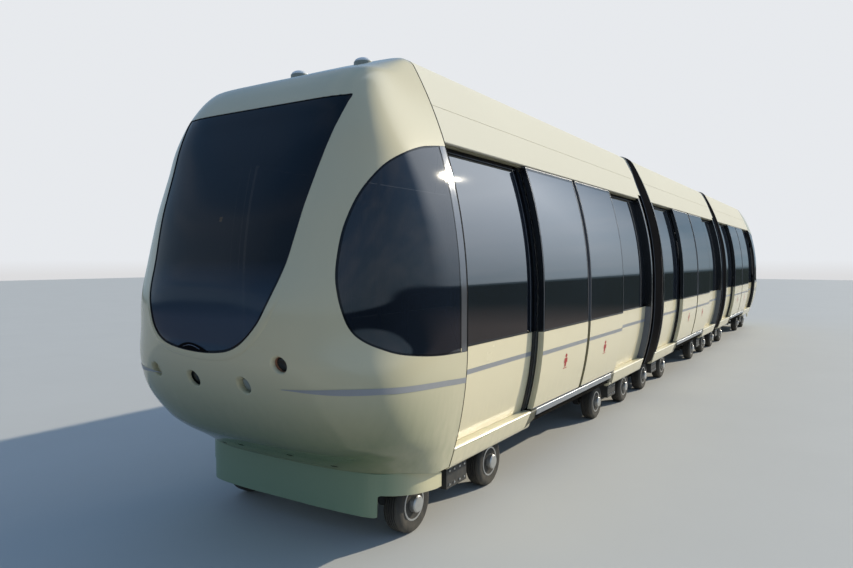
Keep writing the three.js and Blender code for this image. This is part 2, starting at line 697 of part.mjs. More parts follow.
function buildCar(car) {
  const group = new THREE.Group();
  const tag = `car_${car.number}`;
  const gangways = car.nose ? NOSE_CAR_GANGWAYS : MIDDLE_CAR_GANGWAYS;
  const pillars = gangways.map(({ end }) => end);
  group.add(mesh(`${tag}_underframe`, underframe(), SHADE));
  group.add(mesh(`${tag}_roof`, roof(), PAINT));
  group.add(mesh(`${tag}_seats`, seating(), SEATING));
  for (const side of [-1, 1]) {
    const hand = (side < 0) === !car.turned ? 'left' : 'right';
    group.add(mesh(`${tag}_wall_${hand}`, wall(side, pillars), PAINT));
    group.add(mesh(`${tag}_door_${hand}_a`, doorLeaf(side, -1), PAINT));
    group.add(mesh(`${tag}_door_${hand}_b`, doorLeaf(side, 1), PAINT));
  }
  const setback = car.nose ? NOSE_BOGIE_SETBACK : INNER_BOGIE_SETBACK;
  group.add(bogieGroup(tag, 'a', setback - CAR_END, 1));
  group.add(bogieGroup(tag, 'b', CAR_END - INNER_BOGIE_SETBACK, 3));
  for (const { end, name } of gangways) {
    const bellows = mesh(`${tag}_${name}`, gangwayHalf(), RUBBER);
    bellows.rotation.z = end < 0 ? Math.PI : 0;
    bellows.position.x = end * CAR_END;
    group.add(bellows);
  }
  if (car.nose) {
    group.add(mesh(`${tag}_nose`, nose(), PAINT));
    group.add(mesh(`${tag}_windscreen`, windscreen(), GLASS));
    group.add(mesh(`${tag}_apron`, apron(), SHADE));
  } else {
    group.add(mesh('cable_grip', cableGrip(), IRON));
  }
  group.position.x = car.x;
  group.rotation.z = car.turned ? Math.PI : 0;
  return group;
}

for (const car of CARS) {
  train.add(buildCar(car));
}

export default train;
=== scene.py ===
from math import atan2, ceil, cos, pi, radians, sin, sqrt, tanh

import bmesh
import bpy
import numpy as np
from mathutils import Matrix, Vector


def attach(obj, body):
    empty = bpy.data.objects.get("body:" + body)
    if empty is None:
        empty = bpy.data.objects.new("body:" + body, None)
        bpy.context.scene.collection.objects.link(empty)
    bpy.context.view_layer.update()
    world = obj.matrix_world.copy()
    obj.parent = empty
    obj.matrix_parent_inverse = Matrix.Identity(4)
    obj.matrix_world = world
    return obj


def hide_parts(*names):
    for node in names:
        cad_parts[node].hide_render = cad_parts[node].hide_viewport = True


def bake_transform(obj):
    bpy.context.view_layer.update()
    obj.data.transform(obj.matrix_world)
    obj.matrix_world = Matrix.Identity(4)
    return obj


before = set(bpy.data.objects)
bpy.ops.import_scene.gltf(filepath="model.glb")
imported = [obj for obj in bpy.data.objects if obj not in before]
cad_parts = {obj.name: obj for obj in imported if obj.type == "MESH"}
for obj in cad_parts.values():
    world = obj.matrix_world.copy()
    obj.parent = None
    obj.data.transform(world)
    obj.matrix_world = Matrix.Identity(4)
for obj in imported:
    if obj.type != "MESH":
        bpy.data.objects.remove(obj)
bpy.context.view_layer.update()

# Cars, in metres: the same values as the solids
CARS = (1, 2, 3)
NOSE_CARS = (1, 3)
SIDES = (-1, 1)
CAR_LENGTH = 4.96
GANGWAY_LENGTH = 0.6
CAR_PITCH = CAR_LENGTH + GANGWAY_LENGTH
CAR_END = CAR_LENGTH / 2
HALF_WIDTH = 1.12
ROOF_TOP = 3.29
SKIRT_BOTTOM = 0.4
SLAB_BOTTOM = 0.45
FLOOR_TOP = 0.566
BELT = 1.245
CORNICE = 2.65
WINDOW_TOP = 2.605
WALL_INSET = 0.075
LEAF_WIDTH = 1.16
LEAF_THICKNESS = 0.03
LEAF_END_DEPTH = 0.05
LEAF_FRAME = 0.045
LEAF_CLEARANCE = 0.01
LEAF_MEETING_GAP = 0.003
DOORWAY_HALF = 1.1
END_PILLAR = 0.05
JOINT_SEAM = 0.006
LOW_ARC = (1.3, 2.7)
HIGH_ARC = (1.55, 3.35)
CORNER_RADIUS = 0.12
CROWN_RADIUS = 6.0
WHEEL_RADIUS = 0.2
WHEELBASE = 1.12
GANGWAY_INSET = 0.025

POST_FROM_DOORWAY = 0.125
POLE_ASIDE = 0.575
RAIL_HEIGHT = 2.9

# Nose sections: height, reach ahead of the car's end, and fullness of the plan curve
NOSE_SECTIONS = np.array([
    (0.400, 0.560, 3.2), (0.490, 0.640, 3.3), (0.600, 0.805, 3.3), (0.670, 0.905, 3.8),
    (0.750, 0.977, 4.5), (0.950, 1.100, 5.2), (1.130, 1.183, 4.6), (1.350, 1.275, 3.4),
    (1.600, 1.298, 3.1), (1.850, 1.208, 3.4), (2.130, 1.114, 3.8), (2.450, 0.977, 4.8),
    (2.700, 0.862, 6.8), (2.880, 0.776, 7.3), (3.050, 0.631, 7.4), (3.110, 0.490, 6.1),
    (3.170, 0.328, 6.0), (3.230, 0.160, 6.0), (3.288, 0.020, 5.0),
])
NOSE_LIFT_FROM = 1.6
NOSE_SKIN = 0.03

# Lower edge of the nose, rising towards the front: distance ahead and height
NOSE_UNDERSIDE = [(0.0, 0.4), (0.05, 0.4), (0.45, 0.49), (0.9, 0.49)]
NOSE_TOP = 3.288
NOSE_CABIN_TOP = 3.24
SKIRT_ROUND = 0.03

# Windscreen outline from the top middle round by the -Y side: side distance and height
WINDSCREEN_EDGE = [
    (0, 2.842), (-0.35, 2.842), (-0.715, 2.845), (-0.738, 2.846), (-0.742, 2.83), (-0.723, 2.736),
    (-0.69, 2.582), (-0.662, 2.416), (-0.636, 2.198), (-0.603, 1.904), (-0.584, 1.79), (-0.56, 1.69),
    (-0.524, 1.59), (-0.463, 1.484), (-0.35, 1.38), (-0.225, 1.32), (-0.083, 1.296), (0.075, 1.292),
    (0.252, 1.308), (0.385, 1.346), (0.465, 1.42), (0.508, 1.54), (0.57, 1.752), (0.635, 2.04),
    (0.67, 2.24), (0.705, 2.48), (0.735, 2.7), (0.742, 2.825), (0.728, 2.842), (0.7, 2.842), (0.35, 2.842),
]
WINDSCREEN_CORNERS = (0, 2, 4, 27, 29)

# Side window in the nose, round the front from its rear upright: distance ahead and height
NOSE_WINDOW_EDGE = [
    (0.012, 1.236), (0.2, 1.241), (0.359, 1.248), (0.55, 1.267), (0.735, 1.297), (0.852, 1.336),
    (0.944, 1.383), (1.003, 1.442), (1.038, 1.53), (1.056, 1.644), (1.052, 1.766), (1.016, 1.934),
    (0.97, 2.076), (0.9, 2.22), (0.808, 2.338), (0.7, 2.43), (0.545, 2.505), (0.358, 2.566),
    (0.2, 2.597), (0.012, 2.622),
]
SCREEN_EASED_FROM = 1.25
SCREEN_EASE = 0.034
NOSE_STRIP = 0.085
NOSE_STRIP_SEAM = 0.004
NOSE_STRIP_HEIGHTS = (1.24, 2.618)
PANE_BORDER = 0.014

# Cowl at the foot of the windscreen, its top edge and the paler arc across it: side distance and height
COWL_FOOT = 1.292
COWL_TOP = [(0.252, 1.31), (0.215, 1.328), (0.17, 1.342), (0.12, 1.347), (0.07, 1.341), (0.02, 1.325),
            (-0.03, 1.3)]
COWL_ARC = [(0.19, 1.318), (0.155, 1.328), (0.115, 1.331), (0.075, 1.324), (0.04, 1.31)]

# Raised lip round the lower part of the windscreen: distance out from the edge and how far proud
LIP = [(0.002, 0.002), (0.008, 0.0042), (0.02, 0.0052), (0.033, 0.0052), (0.041, 0.0042), (0.047, 0.0018),
       (0.052, -0.0012)]
LIP_TOP = 1.95
LIP_FADE = 0.55

# Lamps: side distance, height, radius and kind of each recess in the nose
LAMPS = [(-0.575, 1.258, 0.045, "brown"), (-0.24, 1.103, 0.048, "clear"),
         (0.215, 1.103, 0.048, "dark"), (0.595, 1.128, 0.045, "painted")]
LAMP_DEPTH = 0.045
LAMP_FUNNEL = 1.28
ROOF_LAMP = {"ahead": 0.085, "y": 0.307, "radius": 0.07}

# Funnel, cup and lens of a lamp: share of its radius and depth
FUNNEL = [(LAMP_FUNNEL, 0.0), (1.22, 0.0008), (1.14, 0.004), (1.06, 0.01), (1.0, 0.018), (0.98, 0.026)]
CUP = [(0.98, 0.026), (0.95, 0.036), (0.94, 0.05)]
LENS = [(0.94, 0.04), (0.8, 0.034), (0.5, 0.03), (0.2, 0.028), (0.02, 0.0275)]

# Small drain slots in the underside of the nose: side distance and height
SLOTS = [(0.229, 0.581), (0.516, 0.529)]

# Stripe round the nose from its front tip to the car end: angle in degrees and height
STRIPE_NOSE = [
    (26.2, 1.108), (31.2, 1.109), (36.0, 1.11), (40.9, 1.111), (45.7, 1.109), (51.0, 1.103),
    (56.7, 1.092), (61.8, 1.083), (67.5, 1.074), (76.2, 1.061), (84.0, 1.049), (89.7, 1.041),
]
STRIPE_HEIGHT = 1.062
STRIPE_WIDTH = 0.036
STRIPE_FADE = (23.0, 44.0)
DECAL_LIFT = -0.0008
COVE_SEAM = 2.917
CEILING_DROP = 0.012

# Apron under the nose, one half of its plan from the car end forward: ahead and side distance
APRON_PLAN = [(0.042, 0.937), (0.26, 0.929), (0.42, 0.881), (0.53, 0.789), (0.579, 0.639), (0.599, 0.3),
              (0.599, 0.0)]
APRON_THICKNESS = 0.017
APRON_BOTTOM = 0.2

# Opening in each side of the apron for the wheels: distance ahead and height of its top edge
APRON_ARCH = [(0.0, 0.295), (0.1, 0.295), (0.53, 0.345)]
APRON_ARCH_END = 0.545
APRON_ROUND = 0.014

# Camera, from the photograph's perspective
CAMERA_PLACE = (-11.937, -3.27, 1.85)
CAMERA_RIGHT = (0.53716, -0.84348, 0.0)
CAMERA_UP = (0.03051, 0.01943, 0.99935)
CAMERA_FORWARD = (0.84293, 0.53681, -0.03618)
CAMERA_LENS = 27.98

# Light: the sky's strength, the glow over one side of it, and the sun
SKY_STRENGTH = 1.0
GLOW_TOWARD = (0.907, -0.42, 0.0)
GLOW_STRENGTH = 1.0
SUN_TOWARD = (0.855, -0.374, 0.359)
SUN_COLOR = (1.0, 0.91, 0.74)
SUN_ANGLE = 0.8
SUN_STRENGTH = 3.3
GLINT_STRENGTH = 1.8
BACKDROP_LOW = (0.72, 0.72, 0.73)
BACKDROP_HIGH = (0.8, 0.82, 0.85)


# Body section: where its corner arc lies between the high arc and the crown
def roof_corner(inset):
    high = np.array([HALF_WIDTH - HIGH_ARC[1], HIGH_ARC[0]])
    crown = np.array([0.0, ROOF_TOP - CROWN_RADIUS])
    a = HIGH_ARC[1] - CORNER_RADIUS
    b = CROWN_RADIUS - CORNER_RADIUS
    run = crown - high
    span = np.hypot(*run)
    along = (a * a - b * b + span * span) / (2 * span)
    aside = sqrt(a * a - along * along)
    centre = high + (run * along + np.array([-run[1], run[0]]) * aside) / span
    start = atan2(*(centre - high)[::-1])
    end = atan2(*(centre - crown)[::-1])
    radius = CORNER_RADIUS - inset
    return centre, radius, start, end, centre[1] + radius * sin(start), centre[1] + radius * sin(end)


def half_width(z, inset=0.0):
    z = np.asarray(z, float)
    centre, radius, start, end, foot, head = roof_corner(inset)

    def arc(middle, height, size):
        return middle + np.sqrt(np.maximum(size ** 2 - (z - height) ** 2, 0))

    return np.select(
        [z < LOW_ARC[0], z < HIGH_ARC[0], z < foot, z < head],
        [arc(HALF_WIDTH - LOW_ARC[1], LOW_ARC[0], LOW_ARC[1] - inset), HALF_WIDTH - inset + 0 * z,
         arc(HALF_WIDTH - HIGH_ARC[1], HIGH_ARC[0], HIGH_ARC[1] - inset), arc(*centre, radius)],
        arc(0, ROOF_TOP - CROWN_RADIUS, CROWN_RADIUS - inset))


def width_at(z, inset=0.0):
    return float(half_width(z, inset))


def side_points(low, high, inset, step=0.06, count=None):
    count = count or max(2, ceil((high - low) / step) + 1)
    return [(width_at(z, inset), z) for z in np.linspace(low, high, count)]


def mirrored(points):
    return [(-y, z) for y, z in reversed(points)]


def roof_points(low, inset, half=False):
    centre, radius, start, end, foot, head = roof_corner(inset)
    count = len(side_points(CORNICE, roof_corner(0.0)[4], 0.0))
    right = side_points(low, foot, inset, count=count)
    right += [(centre[0] + radius * cos(a), centre[1] + radius * sin(a))
              for a in np.linspace(start, end, 9)[1:]]
    crown = CROWN_RADIUS - inset
    right += [(y, ROOF_TOP - CROWN_RADIUS + sqrt(crown ** 2 - y ** 2))
              for y in np.linspace(right[-1][0], 0, 12)[1:]]
    return right if half else right + mirrored(right[:-1])


def section_loop(low, inset):
    side = side_points(low, CORNICE, inset)[:-1]
    return side + roof_points(CORNICE, inset) + mirrored(side)


# Nose surface, from its sections by a smooth curve through their heights
def smoothstep(value, low, high):
    share = np.clip((value - low) / (high - low), 0, 1)
    return share * share * (3 - 2 * share)


def nose_shape(z):
    rows = NOSE_SECTIONS
    index = np.arange(len(rows))
    before, after = np.maximum(index - 1, 0), np.minimum(index + 1, index[-1])
    slopes = (rows[after, 1:] - rows[before, 1:]) / (rows[after, :1] - rows[before, :1])
    z = np.clip(np.asarray(z, float), rows[0, 0], rows[-1, 0])
    i = np.clip(np.searchsorted(rows[:, 0], z, side="right") - 1, 0, len(rows) - 2)
    span = rows[i + 1, 0] - rows[i, 0]
    s = (z - rows[i, 0]) / span
    return [(2 * s ** 3 - 3 * s ** 2 + 1) * rows[i, k + 1] + (s ** 3 - 2 * s ** 2 + s) * span * slopes[i, k]
            + (3 * s ** 2 - 2 * s ** 3) * rows[i + 1, k + 1] + (s ** 3 - s ** 2) * span * slopes[i + 1, k]
            for k in (0, 1)]


def nose_size(z, inset):
    lift = inset * smoothstep(np.asarray(z, float), NOSE_LIFT_FROM, ROOF_TOP)
    reach, fullness = nose_shape(z + lift)
    return reach - inset, fullness, half_width(z, inset)


def nose_point(z, angle, inset=0.0):
    reach, fullness, width = nose_size(z, inset)
    c, s = np.cos(angle), np.sin(angle)
    size = (np.abs(c) ** fullness + np.abs(s) ** fullness) ** (-1 / fullness)
    return np.stack([-CAR_END - reach * size * np.maximum(c, 0), width * size * s, z + 0 * size], axis=-1)


# The nose surface over a side distance, and beside a distance ahead
def nose_ahead(y, z, inset=0.0):
    reach, fullness, width = nose_size(z, inset)
    return reach * np.maximum(1 - (np.abs(y) / width) ** fullness, 0) ** (1 / fullness)


def nose_side(ahead, z, inset=0.0):
    reach, fullness, width = nose_size(z, inset)
    return width * np.maximum(1 - (np.maximum(ahead, 0) / reach) ** fullness, 0) ** (1 / fullness)


# How far ahead and aside points are, as shares of the nose at their height
def nose_shares(points):
    reach, fullness, width = nose_size(points[:, 2], 0.0)
    return np.maximum(-CAR_END - points[:, 0], 0) / reach, points[:, 1] / width, fullness


def nose_radius(points):
    ahead, aside, fullness = nose_shares(points)
    return (ahead ** fullness + np.abs(aside) ** fullness) ** (1 / fullness)


def nose_normal(points):
    ahead, aside, fullness = nose_shares(points)
    angle = np.arctan2(aside, ahead)
    z = np.clip(points[:, 2], NOSE_SECTIONS[0, 0] + 2e-4, NOSE_SECTIONS[-1, 0] - 2e-4)
    across = nose_point(z, angle + 1e-3) - nose_point(z, angle - 1e-3)
    up = nose_point(z + 1e-4, angle) - nose_point(z - 1e-4, angle)
    normal = np.cross(across, up)
    return normal / np.maximum(np.linalg.norm(normal, axis=1, keepdims=True), 1e-12)


# Points on the nose from an outline on its front, on its front for the windscreen, and on its side
def on_front(inset=0.0):
    return lambda y, z: (-CAR_END - float(nose_ahead(y, z, inset)), y, z)


def on_screen(y, z):
    """The front surface, eased back where it would pass the solids' longest point."""
    ahead = float(nose_ahead(y, z, 0.004))
    over = max(ahead - SCREEN_EASED_FROM, 0) / SCREEN_EASE
    return (-CAR_END - min(ahead, SCREEN_EASED_FROM) - SCREEN_EASE * tanh(over), y, z)


def on_side(inset):
    return lambda ahead, z: (-CAR_END - ahead, float(nose_side(ahead, z, inset)), z)


# Curve through points, straight on either side of the stated ones
def smooth_path(points, breaks=(), steps=6, closed=False):
    points = [np.array(p, float) for p in points]
    count = len(points)
    out = []
    for i in range(count if closed else count - 1):
        p1, p2 = points[i], points[(i + 1) % count]
        p0 = points[(i - 1) % count] if closed or i > 0 else p1
        p3 = points[(i + 2) % count] if closed or i + 2 < count else p2
        if i in breaks:
            p0 = p1 - (p2 - p1) * 0.3
        if (i + 1) % count in breaks:
            p3 = p2 + (p2 - p1) * 0.3
        for s in np.arange(steps) / steps:
            out.append(0.5 * (2 * p1 + (p2 - p0) * s + (2 * p0 - 5 * p1 + 4 * p2 - p3) * s ** 2
                              + (3 * p1 - p0 - 3 * p2 + p3) * s ** 3))
    if not closed:
        out.append(points[-1])
    return [tuple(p) for p in out]


def grown(outline, margin):
    points = np.array(outline, float)
    before, after = np.roll(points, 1, axis=0), np.roll(points, -1, axis=0)
    ahead = after - before
    normal = np.stack([ahead[:, 1], -ahead[:, 0]], axis=1)
    normal /= np.maximum(np.linalg.norm(normal, axis=1, keepdims=True), 1e-9)
    area = np.sum(points[:, 0] * after[:, 1] - after[:, 0] * points[:, 1])
    return [tuple(p) for p in points + normal * margin * np.sign(area)]


def circle(radius, count):
    return [(radius * cos(a), radius * sin(a)) for a in np.linspace(0, 2 * pi, count + 1)[:-1]]


# Faces are collected here, each with the number of its material, and become one mesh
class Shape:
    def __init__(self):
        self.verts, self.faces, self.marks = [], [], []

    def add(self, verts, faces, mark=0):
        base = len(self.verts)
        self.verts += [tuple(float(c) for c in v) for v in verts]
        self.faces += [[base + i for i in face] for face in faces]
        self.marks += [mark] * len(faces)
        return self

    def fill(self, ring, mark=0):
        return self.add(ring, [tuple(range(len(ring)))], mark)

    def grid(self, rows, mark=0, round_row=False, round_all=False):
        n, m = len(rows[0]), len(rows)
        faces = []
        for i in range(m if round_all else m - 1):
            k = ((i + 1) % m) * n
            for j in range(n if round_row else n - 1):
                after = (j + 1) % n
                faces.append((i * n + j, i * n + after, k + after, k + j))
        return self.add([p for row in rows for p in row], faces, mark)

    def loft(self, rings, mark=0):
        self.grid(rings, mark, round_row=True)
        self.add(rings[0], [tuple(range(len(rings[0])))[::-1]], mark)
        return self.fill(rings[-1], mark)

    def sheet(self, outline, xs, mark=0):
        return self.grid([[(x, y, z) for y, z in outline] for x in xs], mark)

    def sweep(self, outline, x0, x1, mark=0):
        return self.loft([[(x, y, z) for y, z in outline] for x in (x0, x1)], mark)

    def box(self, low, high, mark=0):
        (x0, y0, z0), (x1, y1, z1) = low, high
        return self.sweep([(y0, z0), (y1, z0), (y1, z1), (y0, z1)], x0, x1, mark)

    def bands(self, rows):
        """Rows of X, X, low, high, outer and inner inset, mark and step; without inner, a skin."""
        for x0, x1, low, high, outer, inner, mark, *step in rows:
            out = side_points(low, high, outer, *step)
            if inner is None:
                self.sheet(out, (x0, x1), mark)
            else:
                self.sweep(out + side_points(low, high, inner, *step)[::-1], x0, x1, mark)
        return self

    def turned(self, profile, place, axis, segments=32, mark=0):
        axis = Vector(axis).normalized()
        side = axis.orthogonal().normalized()
        other = axis.cross(side)
        angles = [2 * pi * k / segments for k in range(segments)]
        return self.loft([[Vector(place) + axis * along + (side * cos(a) + other * sin(a)) * radius
                           for a in angles] for radius, along in profile], mark)

    def tube(self, path, radius, mark=0, sides=10, closed=False):
        path = [Vector(p) for p in path]
        count = len(path)
        angles = [2 * pi * k / sides for k in range(sides)]
        rings = []
        normal = None
        for i, p in enumerate(path):
            ahead = path[(i + 1) % count] if closed or i + 1 < count else p
            behind = path[i - 1] if closed or i > 0 else p
            along = (ahead - behind).normalized()
            if normal is None:
                normal = along.orthogonal()
            normal = (normal - along * normal.dot(along)).normalized()
            other = along.cross(normal)
            rings.append([p + normal * radius * cos(a) + other * radius * sin(a) for a in angles])
        if closed:
            return self.grid(rings, mark, round_row=True, round_all=True)
        return self.loft(rings, mark)

    def flipped(self, sx, sy):
        out = Shape()
        out.verts = [(x * sx, y * sy, z) for x, y, z in self.verts]
        out.faces = [face[::-1] if sx * sy < 0 else face for face in self.faces]
        out.marks = list(self.marks)
        return out

    def join(self, other):
        base = len(self.verts)
        self.verts += other.verts
        self.faces += [[base + i for i in face] for face in other.faces]
        self.marks += other.marks
        return self

    def mesh(self, name, materials, angle=35):
        mesh = bpy.data.meshes.new(name)
        mesh.from_pydata(self.verts, [], self.faces)
        for item in materials:
            mesh.materials.append(item)
        mesh.polygons.foreach_set("material_index", self.marks)
        work = bmesh.new()
        work.from_mesh(mesh)
        bmesh.ops.remove_doubles(work, verts=work.verts, dist=2e-5)
        bmesh.ops.recalc_face_normals(work, faces=work.faces)
        work.to_mesh(mesh)
        work.free()
        mesh.shade_smooth()
        mesh.set_sharp_from_angle(angle=radians(angle))
        return mesh


def place(mesh, name, body, slot=None, matrix=None, bevel=None, replaces=()):
    obj = linked(name, mesh)
    if matrix is not None:
        obj.matrix_world = matrix
    if bevel:
        edge = obj.modifiers.new("edges", "BEVEL")
        edge.width, edge.segments = bevel
        edge.limit_method = "ANGLE"
        edge.angle_limit = radians(40)
        edge.harden_normals = False
    if replaces:
        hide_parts(*replaces)
    if body:
        bpy.context.view_layer.update()
        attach(obj, body)
    return obj


def linked(name, data):
    obj = bpy.data.objects.new(name, data)
    bpy.context.scene.collection.objects.link(obj)
    return obj


# Materials: a node takes settings and inputs by name, or its first inputs in their order
def feed(tree, socket, value):
    if isinstance(value, bpy.types.NodeSocket):
        tree.links.new(value, socket)
    else:
        socket.default_value = value


def node(tree, kind, *inputs, **named):
    item = tree.nodes.new("ShaderNode" + kind)
    for key, value in named.items():
        if hasattr(item, key):
            setattr(item, key, value)
        else:
            feed(tree, item.inputs[key.replace("_", " ")], value)
    for socket, value in zip(item.inputs, inputs):
        feed(tree, socket, value)
    return item


def product(tree, a, b):
    return node(tree, "Math", a, b, operation="MULTIPLY").outputs[0]


def noise(tree, coords, scale, detail=4.0, stretch=(1, 1, 1)):
    stretched = node(tree, "Mapping", coords, Scale=stretch).outputs[0]
    return node(tree, "TexNoise", stretched, Scale=scale, Detail=detail, Roughness=0.6).outputs["Fac"]


def spread(tree, value, low, high, start=0.3, end=0.7):
    return node(tree, "MapRange", value, start, end, low, high).outputs["Result"]


def mix(tree, share, a, b):
    item = node(tree, "Mix", share, data_type="RGBA")
    colors = [socket for socket in item.inputs if socket.type == "RGBA"]
    for socket, value in zip(colors, (a, b)):
        feed(tree, socket, (*value, 1) if isinstance(value, tuple) else value)
    return [socket for socket in item.outputs if socket.type == "RGBA"][0]


def tint(color, factor):
    return tuple(min(1.0, c * factor) for c in color)


def material(name, color, rough, metal=0.0, coat=0.0, sheen=0.0, alpha=1.0, variation=0.05, patch=2.0,
             grain=400.0, bump=0.05, depth=0.001, rough_spread=0.08, dirt_and_shade=None, stretch=(1, 1, 1), ior=1.5,
             specular=0.5, painted_light=None):
    """Mottled colour, uneven gloss and fine relief, darker low down, and painted light towards the front."""
    item = bpy.data.materials.new(name)
    item.use_nodes = True
    tree = item.node_tree
    coords = node(tree, "TexCoord").outputs["Object"]
    axes = node(tree, "SeparateXYZ", coords).outputs
    fine = noise(tree, coords, grain, 3.0, stretch)
    mottled = spread(tree, noise(tree, coords, patch), 0, 1)
    base = mix(tree, mottled, tint(color, 1 - variation), tint(color, 1 + variation))
    base = mix(tree, spread(tree, fine, 0, 2 * variation), base, tint(color, 0.8))
    # Darker low down: dirt on most materials, painted shade on the nose and apron
    if dirt_and_shade:
        low, high, dirt_and_shade_color, strength = dirt_and_shade
        height = spread(tree, axes["Z"], strength, 0, low, high)
        streaks = spread(tree, noise(tree, coords, 7.0, 5.0, (3, 3, 0.6)), 0.2, 1.2)
        base = mix(tree, product(tree, height, streaks), base, dirt_and_shade_color)
    # Painted light towards the front: painted shade on the nose and apron, a painted reflection low on the
    # windscreen
    if painted_light:
        rear, front, low, high, painted_light_color, strength = painted_light
        forward = spread(tree, axes["X"], 0, 1, rear, front)
        height = spread(tree, axes["Z"], strength, 0, low, high)
        base = mix(tree, product(tree, forward, height), base, painted_light_color)
    uneven = noise(tree, coords, patch * 3, 5.0, stretch)
    gloss = spread(tree, uneven, rough - rough_spread / 2, rough + rough_spread / 2)
    relief = node(tree, "Bump", Strength=bump, Distance=depth, Height=fine).outputs["Normal"]
    shader = tree.nodes["Principled BSDF"].inputs
    for socket, value in (("Base Color", base), ("Roughness", gloss), ("Normal", relief)):
        tree.links.new(value, shader[socket])
    shader["Metallic"].default_value = metal
    shader["Coat Weight"].default_value = coat
    shader["Coat Roughness"].default_value = 0.05
    shader["Sheen Weight"].default_value = sheen
    shader["IOR"].default_value = ior
    shader["Specular IOR Level"].default_value = specular
    shader["Alpha"].default_value = alpha
    return item


DUST = (0.23, 0.2, 0.15)
CREAM = (0.79, 0.71, 0.485)
GLASS_TINT = (0.008, 0.012, 0.02)
ENAMEL = {"grain": 1500, "bump": 0.006, "depth": 0.0004}
TINTED = {"alpha": 0.94, "variation": 0.2, "patch": 1.2, "grain": 30, "bump": 0.003, "rough_spread": 0.01}

PAINT = material("cream_paint", CREAM, 0.26, coat=0.5, variation=0.012, patch=0.7, rough_spread=0.03,
                 dirt_and_shade=(0.42, 0.9, (0.36, 0.36, 0.26), 0.2), **ENAMEL)
# The nose's paint is a darker copy of the cream, as painted shade, and its green-grey low down and dark green
# towards the lower front are painted shade too
SHADED_NOSE_PAINT = material("shaded_nose_paint", (0.63, 0.58, 0.405), 0.17, coat=0.15, specular=0.35, variation=0.012,
                      patch=0.7, rough_spread=0.03, dirt_and_shade=(0.42, 1.15, (0.22, 0.27, 0.17), 0.3),
                      painted_light=(-CAR_END - 0.1, -CAR_END - 0.8, 0.6, 1.25, (0.09, 0.138, 0.066), 1.0), **ENAMEL)
ROOF_PAINT = material("roof_paint", (0.7, 0.68, 0.58), 0.5, specular=0.0, variation=0.014, patch=0.6,
                      rough_spread=0.05, **ENAMEL)
# The apron's paint is a darker copy of the cream, as painted shade, and its green-grey low down and green
# towards the front are painted shade too
SHADED_APRON_PAINT = material("shaded_apron_paint", (0.6, 0.56, 0.36), 0.36, coat=0.3, variation=0.03, patch=2, grain=900,
                       bump=0.02, depth=0.0005, dirt_and_shade=(0.18, 0.34, (0.2, 0.22, 0.14), 0.35),
                       painted_light=(-CAR_END - 0.28, -CAR_END - 0.52, 0.5, 0.9, (0.19, 0.27, 0.17), 0.95))
STRIPE_PAINT = material("stripe_grey_blue", (0.3, 0.31, 0.33), 0.4, patch=5, grain=500)
GLASS = material("dark_tinted_glass", GLASS_TINT, 0.015, ior=2.4, **TINTED)
LEAF_GLASS = material("door_glass", GLASS_TINT, 0.015, ior=2.75, **TINTED)
# The windscreen glass turns a lighter blue below about 1.5 to 1.85 m, as a painted reflection
SCREEN_GLASS = material("windscreen_glass", (0.004, 0.006, 0.009), 0.16, alpha=0.994, variation=0.3,
                        patch=0.8, grain=20, bump=0.003, rough_spread=0.02, ior=1.45, specular=0.33,
                        painted_light=(0.0, -1.0, 1.5, 1.85, (0.036, 0.062, 0.1), 1.0))
NOSE_GLASS = material("nose_glass", (0.006, 0.01, 0.02), 0.03, alpha=0.96, variation=0.2, patch=1.2, grain=30,
                      bump=0.003, rough_spread=0.02, ior=1.62)
GLOSS_BLACK = material("gloss_black_trim", (0.008, 0.01, 0.014), 0.2, variation=0.15, patch=3, grain=900,
                       bump=0.01, rough_spread=0.05)
FRIT = material("black_glass_border", (0.006, 0.008, 0.012), 0.06, variation=0.15, patch=4, grain=600,
                bump=0.01, rough_spread=0.03, specular=0.25)
EDGE_METAL = material("grey_edge_metal", (0.16, 0.17, 0.19), 0.5, metal=0.2, specular=0.2, variation=0.06,
                      patch=6, grain=300, bump=0.03, rough_spread=0.05)
RUBBER = material("black_rubber", (0.014, 0.014, 0.015), 0.62, variation=0.2, patch=8, grain=700, bump=0.2,
                  dirt_and_shade=(0.4, 0.9, DUST, 0.25))
BELLOWS = material("bellows_cloth", (0.013, 0.013, 0.014), 0.75, specular=0.1, sheen=0.1, variation=0.25,
                   patch=3, grain=900, bump=0.4, depth=0.002, dirt_and_shade=(0.4, 1.2, DUST, 0.2))
COVER = material("black_joint_cover", (0.009, 0.009, 0.01), 0.65, variation=0.2, patch=4, grain=700, bump=0.1,
                 dirt_and_shade=(0.4, 1.0, DUST, 0.1), specular=0.0)
METAL = material("brushed_aluminium", (0.42, 0.44, 0.47), 0.36, metal=0.9, variation=0.06, patch=6, grain=300,
                 bump=0.08, stretch=(0.05, 1, 1))
STRIP = material("grey_frame_strip", (0.15, 0.16, 0.18), 0.12, metal=0.5, variation=0.06, patch=4, grain=300,
                 bump=0.03, stretch=(1, 1, 0.05))
IRON = material("dark_painted_iron", (0.045, 0.047, 0.05), 0.55, metal=0.35, variation=0.25, patch=6,
                grain=160, bump=0.3, dirt_and_shade=(0.1, 0.42, DUST, 0.3))
STEEL = material("machined_hub", (0.55, 0.55, 0.54), 0.38, metal=0.85, variation=0.1, patch=12, grain=300,
                 bump=0.1)
TYRE = material("tyre_rubber", (0.02, 0.02, 0.021), 0.8, variation=0.3, patch=10, grain=500, bump=0.4,
                depth=0.002, dirt_and_shade=(-0.2, 0.2, DUST, 0.4))
SEAT = material("seat_plastic", (0.36, 0.39, 0.42), 0.45, variation=0.06, patch=4, grain=600, bump=0.1)
FLOOR_MAT = material("cabin_floor", (0.12, 0.13, 0.14), 0.7, variation=0.15, patch=5, grain=350, bump=0.4,
                     depth=0.002)
